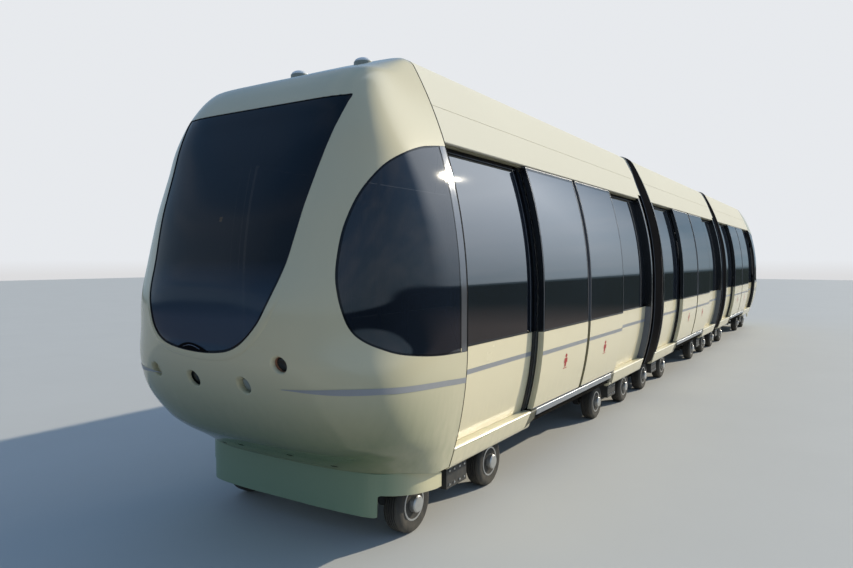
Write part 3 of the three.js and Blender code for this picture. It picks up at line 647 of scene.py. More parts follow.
LINING = material("cabin_lining", (0.5, 0.5, 0.48), 0.5, variation=0.04)
LAMP_CUP = material("lamp_cup", (0.012, 0.014, 0.014), 0.3, variation=0.1, patch=20)
LAMP_RUST = material("red_brown_cup", (0.34, 0.17, 0.11), 0.45, variation=0.1, patch=20)
LAMP_CLEAR = material("clear_lens", (0.22, 0.25, 0.23), 0.06, coat=0.6, variation=0.08, patch=40, grain=200,
                      bump=0.2)
DOME = material("white_dome", (0.88, 0.88, 0.87), 0.3, coat=0.3, variation=0.04, patch=20)
DOME_BASE = material("dome_base", (0.3, 0.31, 0.26), 0.45, variation=0.06, patch=20)
RED_SIGN = material("red_sign", (0.42, 0.03, 0.025), 0.45, variation=0.08, patch=30, grain=500)
# Olive copy of the cream paint, as painted shade on cream faces in shade: the cornice's inner lip and the
# leaves' meeting edges
SHADED_CREAM = material("shaded_cream_paint", (0.33, 0.3, 0.19), 0.5, variation=0.08, patch=8)
# Dark brown copy of the cream paint, as painted shade on the sloped ends of the sills
SHADED_SILL_CAP = material("shaded_sill_cap", (0.12, 0.115, 0.08), 0.6, variation=0.08, patch=8)


# Solids cut from one another
def cut(obj, shape, name):
    cutter = linked(name, shape.mesh(name, []))
    step = obj.modifiers.new("cut", "BOOLEAN")
    step.operation = "DIFFERENCE"
    step.solver = "EXACT"
    step.object = cutter
    bpy.context.view_layer.update()
    graph = bpy.context.evaluated_depsgraph_get()
    mesh = bpy.data.meshes.new_from_object(obj.evaluated_get(graph))
    obj.modifiers.clear()
    obj.data = mesh
    bpy.data.objects.remove(cutter)


def nose_levels(low, high, count):
    z = np.linspace(low, high, 4000)
    length = np.concatenate([[0], np.cumsum(np.hypot(np.diff(z), np.diff(nose_shape(z)[0])))])
    return np.interp(np.linspace(0, length[-1], count), length, z)


def nose_solid(levels, inset, back, count):
    angles = np.linspace(-pi / 2, pi / 2, count)
    round_top = SKIRT_BOTTOM + SKIRT_ROUND
    rings = []
    for z in levels:
        lip = 0.0
        if inset == 0 and z < round_top:
            lip = SKIRT_ROUND - sqrt(max(SKIRT_ROUND ** 2 - (round_top - z) ** 2, 0))
        row = nose_point(np.full(count, z), angles, inset + lip)
        row[0, 0] = row[-1, 0] = -CAR_END
        ring = [tuple(p) for p in row]
        if back:
            ring += [(-CAR_END + back, row[-1, 1], z), (-CAR_END + back, row[0, 1], z)]
        rings.append(ring)
    return Shape().loft(rings)


WINDSCREEN_OUTLINE = smooth_path(WINDSCREEN_EDGE, WINDSCREEN_CORNERS, closed=True)
NOSE_WINDOW_OUTLINE = smooth_path(NOSE_WINDOW_EDGE, (0, len(NOSE_WINDOW_EDGE) - 1))


def nose_mesh():
    outer = nose_solid(nose_levels(SKIRT_BOTTOM, NOSE_TOP, 110), 0.0, 0, 97)
    body = linked("nose_work", outer.mesh("nose", []))
    cut(body, nose_solid(nose_levels(FLOOR_TOP, NOSE_CABIN_TOP, 40), NOSE_SKIN, 0.02, 49), "nose_cabin")
    holes = Shape().sweep(WINDSCREEN_OUTLINE, -CAR_END - 1.5, -CAR_END - 0.35)
    opening = [(a if a > NOSE_WINDOW_EDGE[0][0] else -0.01, z) for a, z in NOSE_WINDOW_OUTLINE]
    for side in SIDES:
        holes.loft([[(-CAR_END - a, side * y, z) for a, z in opening] for y in (0.5, 1.2)])
    for y, z, radius, kind in LAMPS:
        r = radius * LAMP_FUNNEL
        holes.turned([(r, -0.06), (r, LAMP_DEPTH + 0.015)], on_front()(y, z), (1, 0, 0), 48)
    cut(body, holes, "nose_holes")
    cut(body, nose_solid([SKIRT_BOTTOM - 0.02, SLAB_BOTTOM], 0.06, 0.02, 49), "nose_under")
    edge = [(-CAR_END - a, z) for a, z in NOSE_UNDERSIDE]
    below = [(edge[0][0] + 0.02, 0.3), (edge[0][0] + 0.02, edge[0][1] - 0.001), *edge, (edge[-1][0], 0.3)]
    cut(body, Shape().loft([[(x, y, z) for x, z in below] for y in (-1.2, 1.2)]), "nose_below")
    mesh = body.data
    bpy.data.objects.remove(body)
    return mesh


# The outer skin is shaded by the true surface, and the cut edges and the inside get their own materials
def dress_nose(mesh):
    points = np.empty(len(mesh.vertices) * 3)
    mesh.vertices.foreach_get("co", points)
    points = points.reshape(-1, 3)
    off_skin = np.abs(nose_radius(points) - 1)
    normals = nose_normal(points)
    mesh.materials.clear()
    for item in (SHADED_NOSE_PAINT, FRIT, LINING):
        mesh.materials.append(item)
    mesh.shade_smooth()
    loops = []
    for poly in mesh.polygons:
        ids = list(poly.vertices)
        centre, flat = np.array(poly.center), np.array(poly.normal)
        facing = normals[ids] @ flat
        outside = np.all(off_skin[ids] < 3e-3) and centre[0] < -CAR_END - 1e-4
        if outside and np.all(np.abs(facing) > 0.6):
            poly.material_index = 0
            loops += [tuple(normals[i] * np.sign(f)) for i, f in zip(ids, facing)]
            continue
        edge = np.any(off_skin[ids] < 3e-3) and abs(flat[0]) < 0.999
        poly.material_index = 1 if edge and centre[2] > 1.0 else 2
        if centre[2] < FLOOR_TOP - 0.02 or centre[2] > 3.2:
            poly.material_index = 0
        loops += [tuple(flat)] * len(ids)
    mesh.normals_split_custom_set(loops)
    return mesh


# A pane that fills an outline on the nose, in rings round its middle, with a black border
def pane_shape(outline, surface, middle, gap=0.003):
    def ring(points, share):
        return [surface(middle[0] + (u - middle[0]) * share, middle[1] + (v - middle[1]) * share)
                for u, v in points]

    rim = grown(outline, -PANE_BORDER)
    shape = Shape().grid([ring(grown(outline, -gap), 1.0), ring(rim, 1.0)], 1, round_row=True)
    rings = [ring(rim, share) for share in np.linspace(1, 0.02, 26)]
    return shape.grid(rings, 0, round_row=True).fill(rings[-1])


# Where each car stands, and which side of it is its left: the third car is turned round
def car_matrix(number):
    turn = Matrix.Rotation(pi, 4, "Z") if number == 3 else Matrix.Identity(4)
    return Matrix.Translation((CAR_PITCH * (number - 2), 0, 0)) @ turn


def hand(number, side):
    return "left" if (side < 0) == (number != 3) else "right"


# The same piece on each of the cars, and a mirrored pair of them on the noses
def put(mesh, name, slot="body_paint", cars=NOSE_CARS, replaces=(), bevel=None):
    for number in cars:
        nodes = [f"car_{number}_{item}" for item in replaces]
        place(mesh, f"{name}_{number}", f"car_{number}", slot, car_matrix(number), bevel, nodes)


def put_pair(shape, name, materials, slot="body_paint"):
    for side, word in zip(SIDES, ("left", "right")):
        put(shape.flipped(1, side).mesh(f"{name}_{word}", materials), f"{name}_{word}", slot)


# Nose, its panes and gaskets
put(dress_nose(nose_mesh()), "nose_shell", replaces=["nose"])
screen = pane_shape(WINDSCREEN_OUTLINE, on_screen, (0, 2.1))
put(screen.mesh("windscreen_pane", [SCREEN_GLASS, FRIT]), "windscreen_pane", "glass", replaces=["windscreen"])

side_edge = [(NOSE_STRIP + NOSE_STRIP_SEAM if a < 0.1 else a, z) for a, z in NOSE_WINDOW_EDGE]
upright = [(side_edge[0][0], z) for z in np.linspace(side_edge[-1][1], side_edge[0][1], 24)[1:-1]]
side_outline = smooth_path(side_edge, (0, len(side_edge) - 1)) + upright
put_pair(pane_shape(side_outline, on_side(0.004), (0.5, 1.9)), "nose_pane", [NOSE_GLASS, FRIT], "glass")

trim = Shape().tube([on_front(0.002)(*p) for p in WINDSCREEN_OUTLINE], 0.003, sides=6, closed=True)
side_trim = Shape().tube([on_side(0.0035)(*p) for p in NOSE_WINDOW_OUTLINE], 0.003, sides=6)
for side in SIDES:
    trim.join(side_trim.flipped(1, side))
put(trim.mesh("nose_gaskets", [RUBBER]), "nose_gaskets", "bellows")

# Upright strip behind the side window: from X, to X, inset and mark
strip = Shape()
for a0, a1, inset, mark in ((0.0005, 0.014, 0.002, 1), (0.014, NOSE_STRIP, 0.002, 0),
                            (NOSE_STRIP, NOSE_STRIP + 0.006, 0.006, 1)):
    strip.grid([[on_side(inset)(a, z) for a in np.linspace(a0, a1, 4)]
                for z in np.linspace(*NOSE_STRIP_HEIGHTS, 40)], mark)
put_pair(strip, "nose_strip", [STRIP, RUBBER])


# Dark half-moon cowl at the foot of the windscreen
def on_cowl(y, z, proud=0.002):
    x, y, z = on_screen(y, z)
    return x - proud, y, z


rows = []
for y, z in smooth_path(COWL_TOP):
    foot = COWL_FOOT + 0.25 * max(abs(y) - 0.05, 0) ** 2
    rows.append([on_cowl(y, foot + (z - foot) * share) for share in (0, 0.25, 0.5, 0.75, 1)])
cowl = Shape().grid(rows).tube([on_cowl(y, z, 0.003) for y, z in smooth_path(COWL_ARC)], 0.0025, 1, 6)
put(cowl.mesh("windscreen_cowl", [COVER, STRIP]), "windscreen_cowl", "bellows")

# Soft raised lip round the lower part of the windscreen
fades = [(i, float(smoothstep(LIP_TOP - z, 0, LIP_FADE))) for i, (y, z) in enumerate(WINDSCREEN_OUTLINE)
         if z < LIP_TOP]
columns = []
for margin, height in LIP:
    around = grown(WINDSCREEN_OUTLINE, margin)
    columns.append([on_front(0.0012 * (1 - fade) - height * fade)(*around[i]) for i, fade in fades])
put(Shape().grid(columns).mesh("windscreen_lip", [SHADED_NOSE_PAINT], 80), "windscreen_lip")

rows = []
for angle, z in smooth_path(STRIPE_NOSE):
    width = STRIPE_WIDTH * float(smoothstep(angle, *STRIPE_FADE)) / 2 + 0.0008
    rows.append([nose_point(z + s * width, radians(angle), -0.0012) for s in (-1, -0.5, 0, 0.5, 1)])
put_pair(Shape().grid(rows), "nose_stripe", [STRIPE_PAINT])

# Lamps: a painted funnel runs in from the nose surface to a cup with a lens
lamps = Shape()
for y, z, radius, kind in LAMPS:
    def lamp_ring(share, depth):
        ring = [on_front()(y + u * share, z + v * share) for u, v in circle(radius, 48)]
        return [(u + depth, v, w) for u, v, w in ring]

    cup_mark, lens_mark = {"brown": (2, 1), "clear": (0, 3), "dark": (1, 1), "painted": (0, 0)}[kind]
    for part, mark in ((FUNNEL, 0), (CUP, cup_mark), (LENS, lens_mark)):
        lamps.grid([lamp_ring(*row) for row in part], mark, round_row=True)
    lamps.fill(lamp_ring(*LENS[-1]), lens_mark)
put(lamps.mesh("nose_lamps", [SHADED_NOSE_PAINT, LAMP_CUP, LAMP_RUST, LAMP_CLEAR], 50), "nose_lamps")

domes = Shape()
for side in SIDES:
    at, r = (-CAR_END - ROOF_LAMP["ahead"], side * ROOF_LAMP["y"], 0), ROOF_LAMP["radius"]
    domes.turned([(r, 3.235), (r, 3.262), (r - 0.002, 3.265), (r - 0.006, 3.266)], at, (0, 0, 1), 40, 1)
    cap = [((r - 0.004) * cos(a), 3.264 + 0.034 * sin(a)) for a in np.linspace(0, 1.52, 12)]
    domes.turned(cap, at, (0, 0, 1), 40)
put(domes.mesh("roof_lamps", [DOME, DOME_BASE]), "roof_lamps")

# Flat black patches on the nose stand for the slots, as painted shade in their openings
slots = Shape()
for y, z in SLOTS:
    for side in SIDES:
        slots.grid([[on_front(-0.001)(side * y + dy, z + dz) for dy in np.linspace(-0.024, 0.024, 5)]
                    for dz in (-0.006, 0.006)])
put(slots.mesh("nose_slots", [COVER]), "nose_slots")


# Roof: one skin with its soffit, the seam along the cove, and the ceiling
def roof_shape():
    ends = (JOINT_SEAM - CAR_END, CAR_END - JOINT_SEAM)
    outer = roof_points(CORNICE, 0.0)
    ceiling = roof_points(CORNICE + CEILING_DROP, WALL_INSET + CEILING_DROP)
    half = [(width_at(CORNICE + up, inset), CORNICE + up) for up, inset in
            ((CEILING_DROP, WALL_INSET + CEILING_DROP), (0, WALL_INSET + 0.01), (0, 0.006), (0.006, 0))]
    side = roof_points(CORNICE, 0.0, half=True)
    half += [p for p in side[1:] if p[1] < COVE_SEAM - 0.004]
    half += [(width_at(z) if abs(rise) > 0.001 else width_at(COVE_SEAM) - 0.004, z) for rise, z in
             ((rise, COVE_SEAM + rise) for rise in (-0.002, -0.001, 0.001, 0.002))]
    half += [p for p in side if p[1] > COVE_SEAM + 0.004]
    shape = Shape().sheet(half + mirrored(half[:-1]), ends).sheet(ceiling, ends, 1)
    for x in ends:
        shape.grid([[(x, y, z) for y, z in points] for points in (outer, ceiling)])
    return shape


put(roof_shape().mesh("roof_skin", [ROOF_PAINT, LINING]), "roof_skin", cars=CARS, replaces=["roof"])

# Dark seal in the joint between each nose and its car, with a fine line over it
outer, inner = section_loop(FLOOR_TOP, 0.007), section_loop(FLOOR_TOP, 0.05)
corners = [(-CAR_END + 0.0005, outer), (-CAR_END + JOINT_SEAM - 0.0005, outer),
           (-CAR_END + JOINT_SEAM - 0.0005, inner), (-CAR_END + 0.0005, inner)]
seal = Shape().grid([[(x, y, z) for y, z in points] for x, points in corners + corners[:1]])
line = [(max(-HALF_WIDTH, min(HALF_WIDTH, y)), z) for y, z in section_loop(SKIRT_BOTTOM + 0.03, DECAL_LIFT)]
seal.sheet(line, (-CAR_END - 0.0005, -CAR_END - 0.0085), 1)
put(seal.mesh("joint_seal", [RUBBER, COVER]), "joint_seal", "bellows")

# Fixed side panels behind the leaves, at the nose end or beside a gangway, and the leaves
BODY, PANE, BORDER, SEAL, EDGE, INSIDE, STRIPE, TRIM, EXTRA, SHADED_FACE = range(10)
SIDE_MATERIALS = [PAINT, GLASS, FRIT, RUBBER, EDGE_METAL, LINING, STRIPE_PAINT, GLOSS_BLACK]


def fixed_side(pillar):
    """Canonical panel on the +Y side at the +X end."""
    face, near, post = WALL_INSET, DOORWAY_HALF, DOORWAY_HALF + POST_FROM_DOORWAY
    far = CAR_END - JOINT_SEAM
    end = far - (END_PILLAR if pillar else 0.0)
    low, belt, top, head = FLOOR_TOP + 0.002, BELT + 0.003, WINDOW_TOP, CORNICE - 0.02
    border = face + 0.0012
    stripe = STRIPE_HEIGHT + 0.004 - STRIPE_WIDTH / 2
    shape = Shape().bands([
        (post, end, low, BELT, face, face + 0.03, BODY),
        (post, end, belt, top, face + 0.002, face + 0.008, PANE),
        (post, post + 0.04, belt, top, border, None, BORDER),
        (end - (0.24 if pillar else 0.012), end, belt, top, border, None, BORDER),
        (post, end, belt, belt + 0.014, border, None, BORDER),
        (post, end, top - 0.008, top, border, None, BORDER),
        (post + 0.04, post + 0.045, belt, top, face - 0.001, face + 0.002, EDGE),
        (post, end, top, top + 0.005, face - 0.003, face + 0.004, EDGE, 0.005),
        # Between the glass top and the cornice, a black band as painted shadow of the gap, and the cornice's
        # inner lip in olive as painted shade
        (near + 0.06, end, top + 0.005, CORNICE + 0.004, face + 0.012, face + 0.03, SEAL, 0.01),
        (near + 0.06, end, CORNICE - 0.016, CORNICE - 0.002, 0.034, 0.06, SHADED_FACE, 0.007),
        (post - 0.055, post, low, head, face - 0.006, face + 0.03, SEAL),
        # Black lip beside the leaf's trailing edge, as painted shadow of the gap behind the leaf
        (post - 0.002, post + 0.012, low, BELT, face - 0.014, face + 0.02, SEAL),
        (post - 0.055, post, belt, head, face - 0.014, face, TRIM),
        (near, near + 0.06, low, CORNICE, face + 0.004, face + 0.05, INSIDE),
        (post, end, low, BELT, face + 0.032, face + 0.05, INSIDE),
        (post + 0.012, end, stripe, stripe + STRIPE_WIDTH, face - 0.001, None, STRIPE, 0.02)])
    if pillar:
        head = CORNICE - 0.002
        shape.bands([
            # Lighter grey strip along the start of the pillar's black border, as a painted highlight
            (end - 0.245, end - 0.215, belt, top, border - 0.0008, None, EXTRA),
            (end, far, BELT, head, 0.0, face + 0.05, TRIM),
            (end, far, low, BELT, 0.003, face + 0.05, EDGE),
            (end + 0.001, far, low, BELT, 0.0, 0.004, SEAL),
            (far - 0.004, far, low, head, 0.0, 0.012, EDGE)])
    return shape


pillar_end = fixed_side(True)
for side in SIDES:
    for cars, front in ((NOSE_CARS, fixed_side(False)), ((2,), pillar_end)):
        both = Shape().join(front.flipped(-1, side)).join(pillar_end.flipped(1, side))
        mesh = both.mesh("side_panels", [*SIDE_MATERIALS, STRIP, SHADED_CREAM])
        for number in cars:
            word = hand(number, side)
            place(mesh, f"side_panels_{word}_{number}", f"car_{number}", "body_paint", car_matrix(number),
                  replaces=[f"car_{number}_wall_{word}"])


def leaf_shape():
    """Canonical leaf on the +Y side, from the meeting edge at x = 0 to +X."""
    low, high = FLOOR_TOP + LEAF_CLEARANCE, CORNICE - LEAF_CLEARANCE
    x0, x1, back = LEAF_MEETING_GAP, LEAF_WIDTH, LEAF_THICKNESS
    belt, top, rubber = BELT + 0.003, high - 0.009, x0 + 0.036
    pane, rim, border = rubber + 0.006, x1 - 0.005, 0.0005
    stripe = STRIPE_HEIGHT - STRIPE_WIDTH / 2
    shape = Shape().bands([
        (rubber, x1, low, BELT, 0.0, back, BODY),
        (x1 - LEAF_FRAME, x1, low, BELT, back - 0.002, LEAF_END_DEPTH, BODY),
        (pane, rim, belt, top, 0.001, 0.008, PANE),
        (rubber, pane, BELT, high, 0.0, back, EDGE),
        (x1 - 0.004, x1, BELT, high, 0.0, 0.005, EDGE),
        (x1 - 0.03, x1, BELT, high - 0.01, 0.012, LEAF_END_DEPTH, TRIM),
        (rubber, x1, top, high, 0.0, back, EDGE, 0.0045),
        (pane, rim, top - 0.02, top, border, None, BORDER),
        (pane, rim, belt, belt + 0.014, border, None, BORDER),
        (pane, rubber + 0.02, belt, top, border, None, BORDER),
        (x1 - 0.02, rim, belt, top, border, None, BORDER),
        (x0, rubber, low, high, 0.022, back - 0.002, SEAL),
        # Olive band on the cream end face at the meeting edge, as painted shade
        (rubber - 0.005, rubber + 0.0005, low, BELT, 0.001, back - 0.001, SHADED_FACE),
        (x0 + 0.045, x1 - 0.045, belt, high - 0.05, back - 0.008, back - 0.004, PANE),
        (rubber, x1, low, low + 0.012, 0.0, 0.004, EDGE, 0.006),
        (rubber, x1, stripe, stripe + STRIPE_WIDTH, DECAL_LIFT, None, STRIPE, 0.012)])
    for points in PERSON:
        shape.fill([(SIGN_PLACE + u, width_at(v, DECAL_LIFT), v) for u, v in points], EXTRA)
    return shape


# Sign on each leaf: a small standing figure, as head, body and a bar under it
SIGN_PLACE = 0.58
PERSON = [[(0.024 * cos(a), 0.975 + 0.018 * sin(a)) for a in np.linspace(0, 2 * pi, 17)[:-1]],
          [(-0.036, 0.953), (-0.042, 0.91), (-0.024, 0.91), (-0.02, 0.872), (0.02, 0.872), (0.024, 0.91),
           (0.042, 0.91), (0.036, 0.953)],
          [(-0.045, 0.855), (0.045, 0.855), (0.045, 0.863), (-0.045, 0.863)]]
LEAF_MATERIALS = [PAINT, LEAF_GLASS, *SIDE_MATERIALS[2:], RED_SIGN, SHADED_CREAM]
leaf = leaf_shape()
for side in SIDES:
    for end, letter in zip(SIDES, "ab"):
        mesh = leaf.flipped(end, side).mesh("leaf", LEAF_MATERIALS)
        for number in CARS:
            label = f"{hand(number, side)}_{letter}"
            place(mesh, f"leaf_{label}_{number}", f"door_{number}_{label}", "body_paint", car_matrix(number),
                  replaces=[f"car_{number}_door_{label}"])


# Underframe: floor, sills with rounded shoulders and ends in painted shade, thresholds at the doors with a
# black band under them as painted shadow, and the slab below
def sill_outline(top_round=0.022):
    y_top, y_low, low = width_at(FLOOR_TOP), width_at(SKIRT_BOTTOM), SKIRT_BOTTOM
    centre = (y_top - top_round, FLOOR_TOP - top_round)
    return [(y_low - 0.05, low), (y_low - 0.02, low), (y_low - 0.006, low + 0.006),
            *side_points(low + 0.02, centre[1], 0.0, 0.02),
            *((centre[0] + top_round * cos(a), centre[1] + top_round * sin(a))
              for a in np.linspace(0.2, pi / 2, 6)),
            (y_top - 0.14, FLOOR_TOP), (y_top - 0.14, FLOOR_TOP - 0.01), (y_low - 0.05, SLAB_BOTTOM)]


def underframe_shape():
    end, door, y_top = CAR_END - JOINT_SEAM, DOORWAY_HALF + 0.03, width_at(FLOOR_TOP)
    slab, deck = width_at(SLAB_BOTTOM, 0.05), width_at(FLOOR_TOP, WALL_INSET)
    deck_low, deck_top = FLOOR_TOP - 0.012, FLOOR_TOP - 0.001
    shape = Shape().box((-end, -slab, SLAB_BOTTOM), (end, slab, deck_low), 1)
    shape.box((-end, -deck, deck_low), (end, deck, deck_top), 2)
    shape.box((-end + 0.06, -0.5, deck_top), (end - 0.06, 0.5, FLOOR_TOP + 0.004), 2)
    sill = sill_outline()
    grooves = [(y_top - 0.014 - k * 0.018 - step, FLOOR_TOP - drop) for k in range(5)
               for step, drop in ((0, 0), (0.003, 0.004), (0.007, 0.004), (0.01, 0))]
    threshold = [(y_top - 0.13, FLOOR_TOP - 0.03), (y_top - 0.012, FLOOR_TOP - 0.058),
                 (y_top - 0.004, FLOOR_TOP - 0.054), (y_top, FLOOR_TOP - 0.006), (y_top - 0.006, FLOOR_TOP),
                 *grooves, (y_top - 0.13, FLOOR_TOP)]
    # The band under each threshold is black, as painted shadow in the gap below it
    under = [(width_at(SKIRT_BOTTOM + 0.03) - 0.09, SKIRT_BOTTOM + 0.03), (y_top - 0.06, SKIRT_BOTTOM + 0.04),
             (y_top - 0.03, FLOOR_TOP - 0.05), (y_top - 0.12, FLOOR_TOP - 0.034)]
    part = Shape().sweep(sill, -end, -door).sweep(sill, door, end)
    part.sweep(threshold, -door + 0.066, door - 0.066, 3).sweep(under, -door + 0.001, door - 0.001, 4)
    for s in SIDES:
        start, tip = [], []
        for y, z in sill:
            drop = FLOOR_TOP - z
            lifted = z + 0.4 * drop
            start.append((s * (door + 0.05 + 0.35 * drop), y + 0.0015, z))
            tip.append((s * (door - 0.065), y + width_at(lifted) - width_at(z) + 0.0015, lifted))
        # Sloped end of each sill, in dark brown as painted shade
        part.loft([start, tip], 5)
    return shape.join(part.flipped(1, -1)).join(part)


put(underframe_shape().mesh("underframe_fine", [PAINT, IRON, FLOOR_MAT, METAL, COVER, SHADED_SILL_CAP]),
    "underframe_fine", "underframe_paint", CARS, ["underframe"], (0.002, 2))


# Apron round the front of the nose, with rounded corners at the openings for the wheels
def apron_low(ahead):
    step, r = APRON_ARCH_END, APRON_ROUND
    x = max(r - abs(ahead - step), 0)
    rise = r - sqrt(r * r - x * x)
    return APRON_BOTTOM + rise if ahead >= step else float(np.interp(ahead, *zip(*APRON_ARCH))) - rise


def apron_shape():
    half = smooth_path(APRON_PLAN, (0,))
    full = np.array(half + [(a, -y) for a, y in reversed(half[:-1])])
    length = np.concatenate([[0], np.cumsum(np.linalg.norm(np.diff(full, axis=0), axis=1))])
    even = np.linspace(0, length[-1], 700)
    ahead, aside = (np.interp(even, length, full[:, k]) for k in (0, 1))
    points = np.stack([-CAR_END - ahead, aside], axis=1)
    along = np.gradient(points, axis=0)
    normal = np.stack([along[:, 1], -along[:, 0]], axis=1)
    normal /= np.linalg.norm(normal, axis=1, keepdims=True)
    if normal[len(normal) // 2][0] < 0:
        normal = -normal
    rings = []
    r = 0.003
    for p, d in zip(points, normal):
        q = p + d * APRON_THICKNESS
        ahead = -CAR_END - p[0]
        low = apron_low(ahead)
        high = float(np.interp(ahead, *zip(*NOSE_UNDERSIDE))) - 0.003
        rings.append([(*(p + d * r), low), (*p, low + r), (*p, high - r), (*(p + d * r), high),
                      (*(q - d * r), high), (*q, high - r), (*q, low + r), (*(q - d * r), low)])
    return Shape().loft(rings)


put(apron_shape().mesh("apron_fine", [SHADED_APRON_PAINT]), "apron_fine", "underframe_paint", replaces=["apron"])

# Seat seen from its end, in side distance and height, and the places and shares of its rings across a seat
SEAT_EDGE = [(0.56, 0.57), (0.585, 0.57), (0.592, 0.9), (0.62, 0.955), (0.7, 0.962), (0.86, 0.955),
             (0.905, 0.985), (0.945, 1.1), (0.952, 1.215), (0.938, 1.232), (0.915, 1.215), (0.9, 1.1),
             (0.868, 1.022), (0.82, 1.005), (0.7, 1.0), (0.6, 1.008), (0.565, 0.99), (0.558, 0.9)]
SEAT_MIDDLE = (0.755, 0.9)
SEAT_ROUND = [(0, 0.975), (0.012, 0.996), (0.05, 1.0)]


def seats_shape():
    shape = Shape()
    far, near = CAR_END - 0.09, DOORWAY_HALF + 0.06
    width = (far - near) / 3
    x, y, z = near + 0.04, POLE_ASIDE, RAIL_HEIGHT
    my, mz = SEAT_MIDDLE
    outline = smooth_path(SEAT_EDGE, (0, 1), 3, closed=True)
    part = Shape()
    for k in range(3):
        a, b = near + k * width + 0.004, near + (k + 1) * width - 0.004
        rings = [(a + step, s) for step, s in SEAT_ROUND]
        rings += [(b - step, s) for step, s in reversed(SEAT_ROUND)]
        part.loft([[(at, my + (u - my) * s, mz + (v - mz) * s) for u, v in outline] for at, s in rings])
    part.tube([(x, y, FLOOR_TOP), (x, y, z)], 0.017, 1, 16)
    foot = [(0.045, FLOOR_TOP + 0.001), (0.045, FLOOR_TOP + 0.007), (0.022, FLOOR_TOP + 0.016)]
    part.turned(foot, (x, y, 0), (0, 0, 1), 24, 1)
    part.tube([(x, y, z), (x, 0.0, z)], 0.016, 1, 12)
    part.turned([(0.024, z - 0.03), (0.024, z + 0.03)], (x, y, 0), (0, 0, 1), 20, 1)
    for side in SIDES:
        for end in SIDES:
            shape.join(part.flipped(end, side))
        shape.tube([(-x - 0.02, side * y, z), (x + 0.02, side * y, z)], 0.016, 1, 12)
    return shape


put(seats_shape().mesh("seats_fine", [SEAT, METAL]), "seats_fine", "seating", CARS, ["seats"])

# Console behind the windscreen
rings = []
for y in np.linspace(-0.62, 0.62, 25):
    front, foot = (float(nose_ahead(abs(y), z, inset)) for z, inset in ((1.2, 0.07), (1.02, 0.08)))
    rings.append([(-CAR_END - ahead, y, z) for ahead, z in (
        (foot, 1.02), (front, 1.2), (front - 0.04, 1.235), (0.72, 1.2), (0.66, 1.12),
        (0.46, FLOOR_TOP + 0.002), (0.54, FLOOR_TOP + 0.002))])
put(Shape().loft(rings).mesh("console", [SEAT]), "console", "seating", bevel=(0.01, 2))


# Bellows between the cars: folds between two end frames, a smooth black cover, and a pale plate on the roof
def bellows_shape():
    half, frame_x, deep = GANGWAY_LENGTH / 2, 0.035, GANGWAY_INSET + 0.06

    def ring(x, inset, proud=0.0, lean=0.0):
        return [(x + lean * float(smoothstep(z, 2.8, 3.2)), y * (1 + proud * float(smoothstep(z, 1.7, 2.3))),
                 1.6 + (z - 1.6) * (1 + proud * (z > 1.6)))
                for y, z in section_loop(SLAB_BOTTOM + 0.004, inset)]

    stations = np.linspace(frame_x - half, half - frame_x, 55)
    shape = Shape().grid([ring(x, GANGWAY_INSET + 0.018 - 0.015 * cos(2 * pi * k / 6))
                          for k, x in enumerate(stations)])
    shape.grid([ring(x, deep) for x in stations[::-5]])
    for s in SIDES:
        near, far = s * (half - 0.006), s * (half - frame_x)
        frame_rows = [(near, deep), (near, 0.008), (far, 0.008), (far, deep)]
        shape.grid([ring(*row) for row in frame_rows], 1)
    shape.grid([ring(*row) for row in COVER_ROWS], 3)
    shape.tube(ring(-0.155, 0.004, 0.004, 0.14), 0.004, 2, 6)
    shape.grid([[p for p in ring(x, 0.0035) if p[2] > CORNICE] for x in (-0.296, -0.2, -0.1)], 4)
    for x in (-0.09, -0.065, -0.04):
        shape.tube([p for p in ring(x, 0.004) if p[2] > 2.97], 0.004, 4, 6)
    return shape


# Rows of the cover: X, inset, how much wider and higher it gets upwards, and how far its top leans
COVER_ROWS = [(-0.15, 0.05, 0.0, 0.14), (-0.15, 0.006, 0.0, 0.14), (-0.147, 0.002, 0.006, 0.14),
              (-0.05, 0.001, 0.0075, 0.14), (0.15, 0.001, 0.0075), (0.245, 0.002, 0.006), (0.25, 0.006, 0.0),
              (0.25, 0.05, 0.0)]
bellows_mesh = bellows_shape().mesh("bellows", [BELLOWS, RUBBER, EDGE_METAL, COVER, ROOF_PAINT])
for name, front, middle, nodes in (
        ("front", 1, -CAR_PITCH / 2, ["car_1_gangway", "car_2_gangway_front"]),
        ("rear", 2, CAR_PITCH / 2, ["car_2_gangway_rear", "car_3_gangway"])):
    mesh = bellows_mesh.copy()
    mesh.transform(Matrix.Translation((middle, 0, 0)))
    piece = place(mesh, f"bellows_{name}", None, "bellows", replaces=nodes)
    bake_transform(piece)

# Wheel outlines from the middle of the vehicle outwards, as radius and side distance
TREAD_GROOVES = [(radius, a + step) for a in (0.785, 0.7675, 0.75, 0.7325, 0.715) for radius, step in
                 ((WHEEL_RADIUS, 0.006), (WHEEL_RADIUS, -0.005), (0.193, -0.0075), (0.193, -0.0105))]
TREAD = [(0.118, 0.81), (0.15, 0.8155), (0.178, 0.814), (0.192, 0.806), (0.1985, 0.795), *TREAD_GROOVES,
         (0.198, 0.702), (0.192, 0.694), (0.178, 0.687), (0.15, 0.685), (0.118, 0.69)]
RIM = [(0.117, 0.69), (0.121, 0.7), (0.121, 0.8), (0.117, 0.812), (0.105, 0.812), (0.098, 0.79),
       (0.062, 0.782), (0.058, 0.815), (0.057, 0.842), (0.05, 0.849), (0.03, 0.85), (0.004, 0.85)]
WHEEL_NUT = [(0.009, 0.785), (0.009, 0.797), (0.005, 0.8), (0.001, 0.8)]
BOLT = [(0.01, 0.818), (0.01, 0.826), (0.006, 0.829), (0.001, 0.829)]
GRIP_BOLT = [(0.012, 0.074), (0.012, 0.084), (0.007, 0.088), (0.001, 0.088)]
ACROSS = (0, 1, 0)


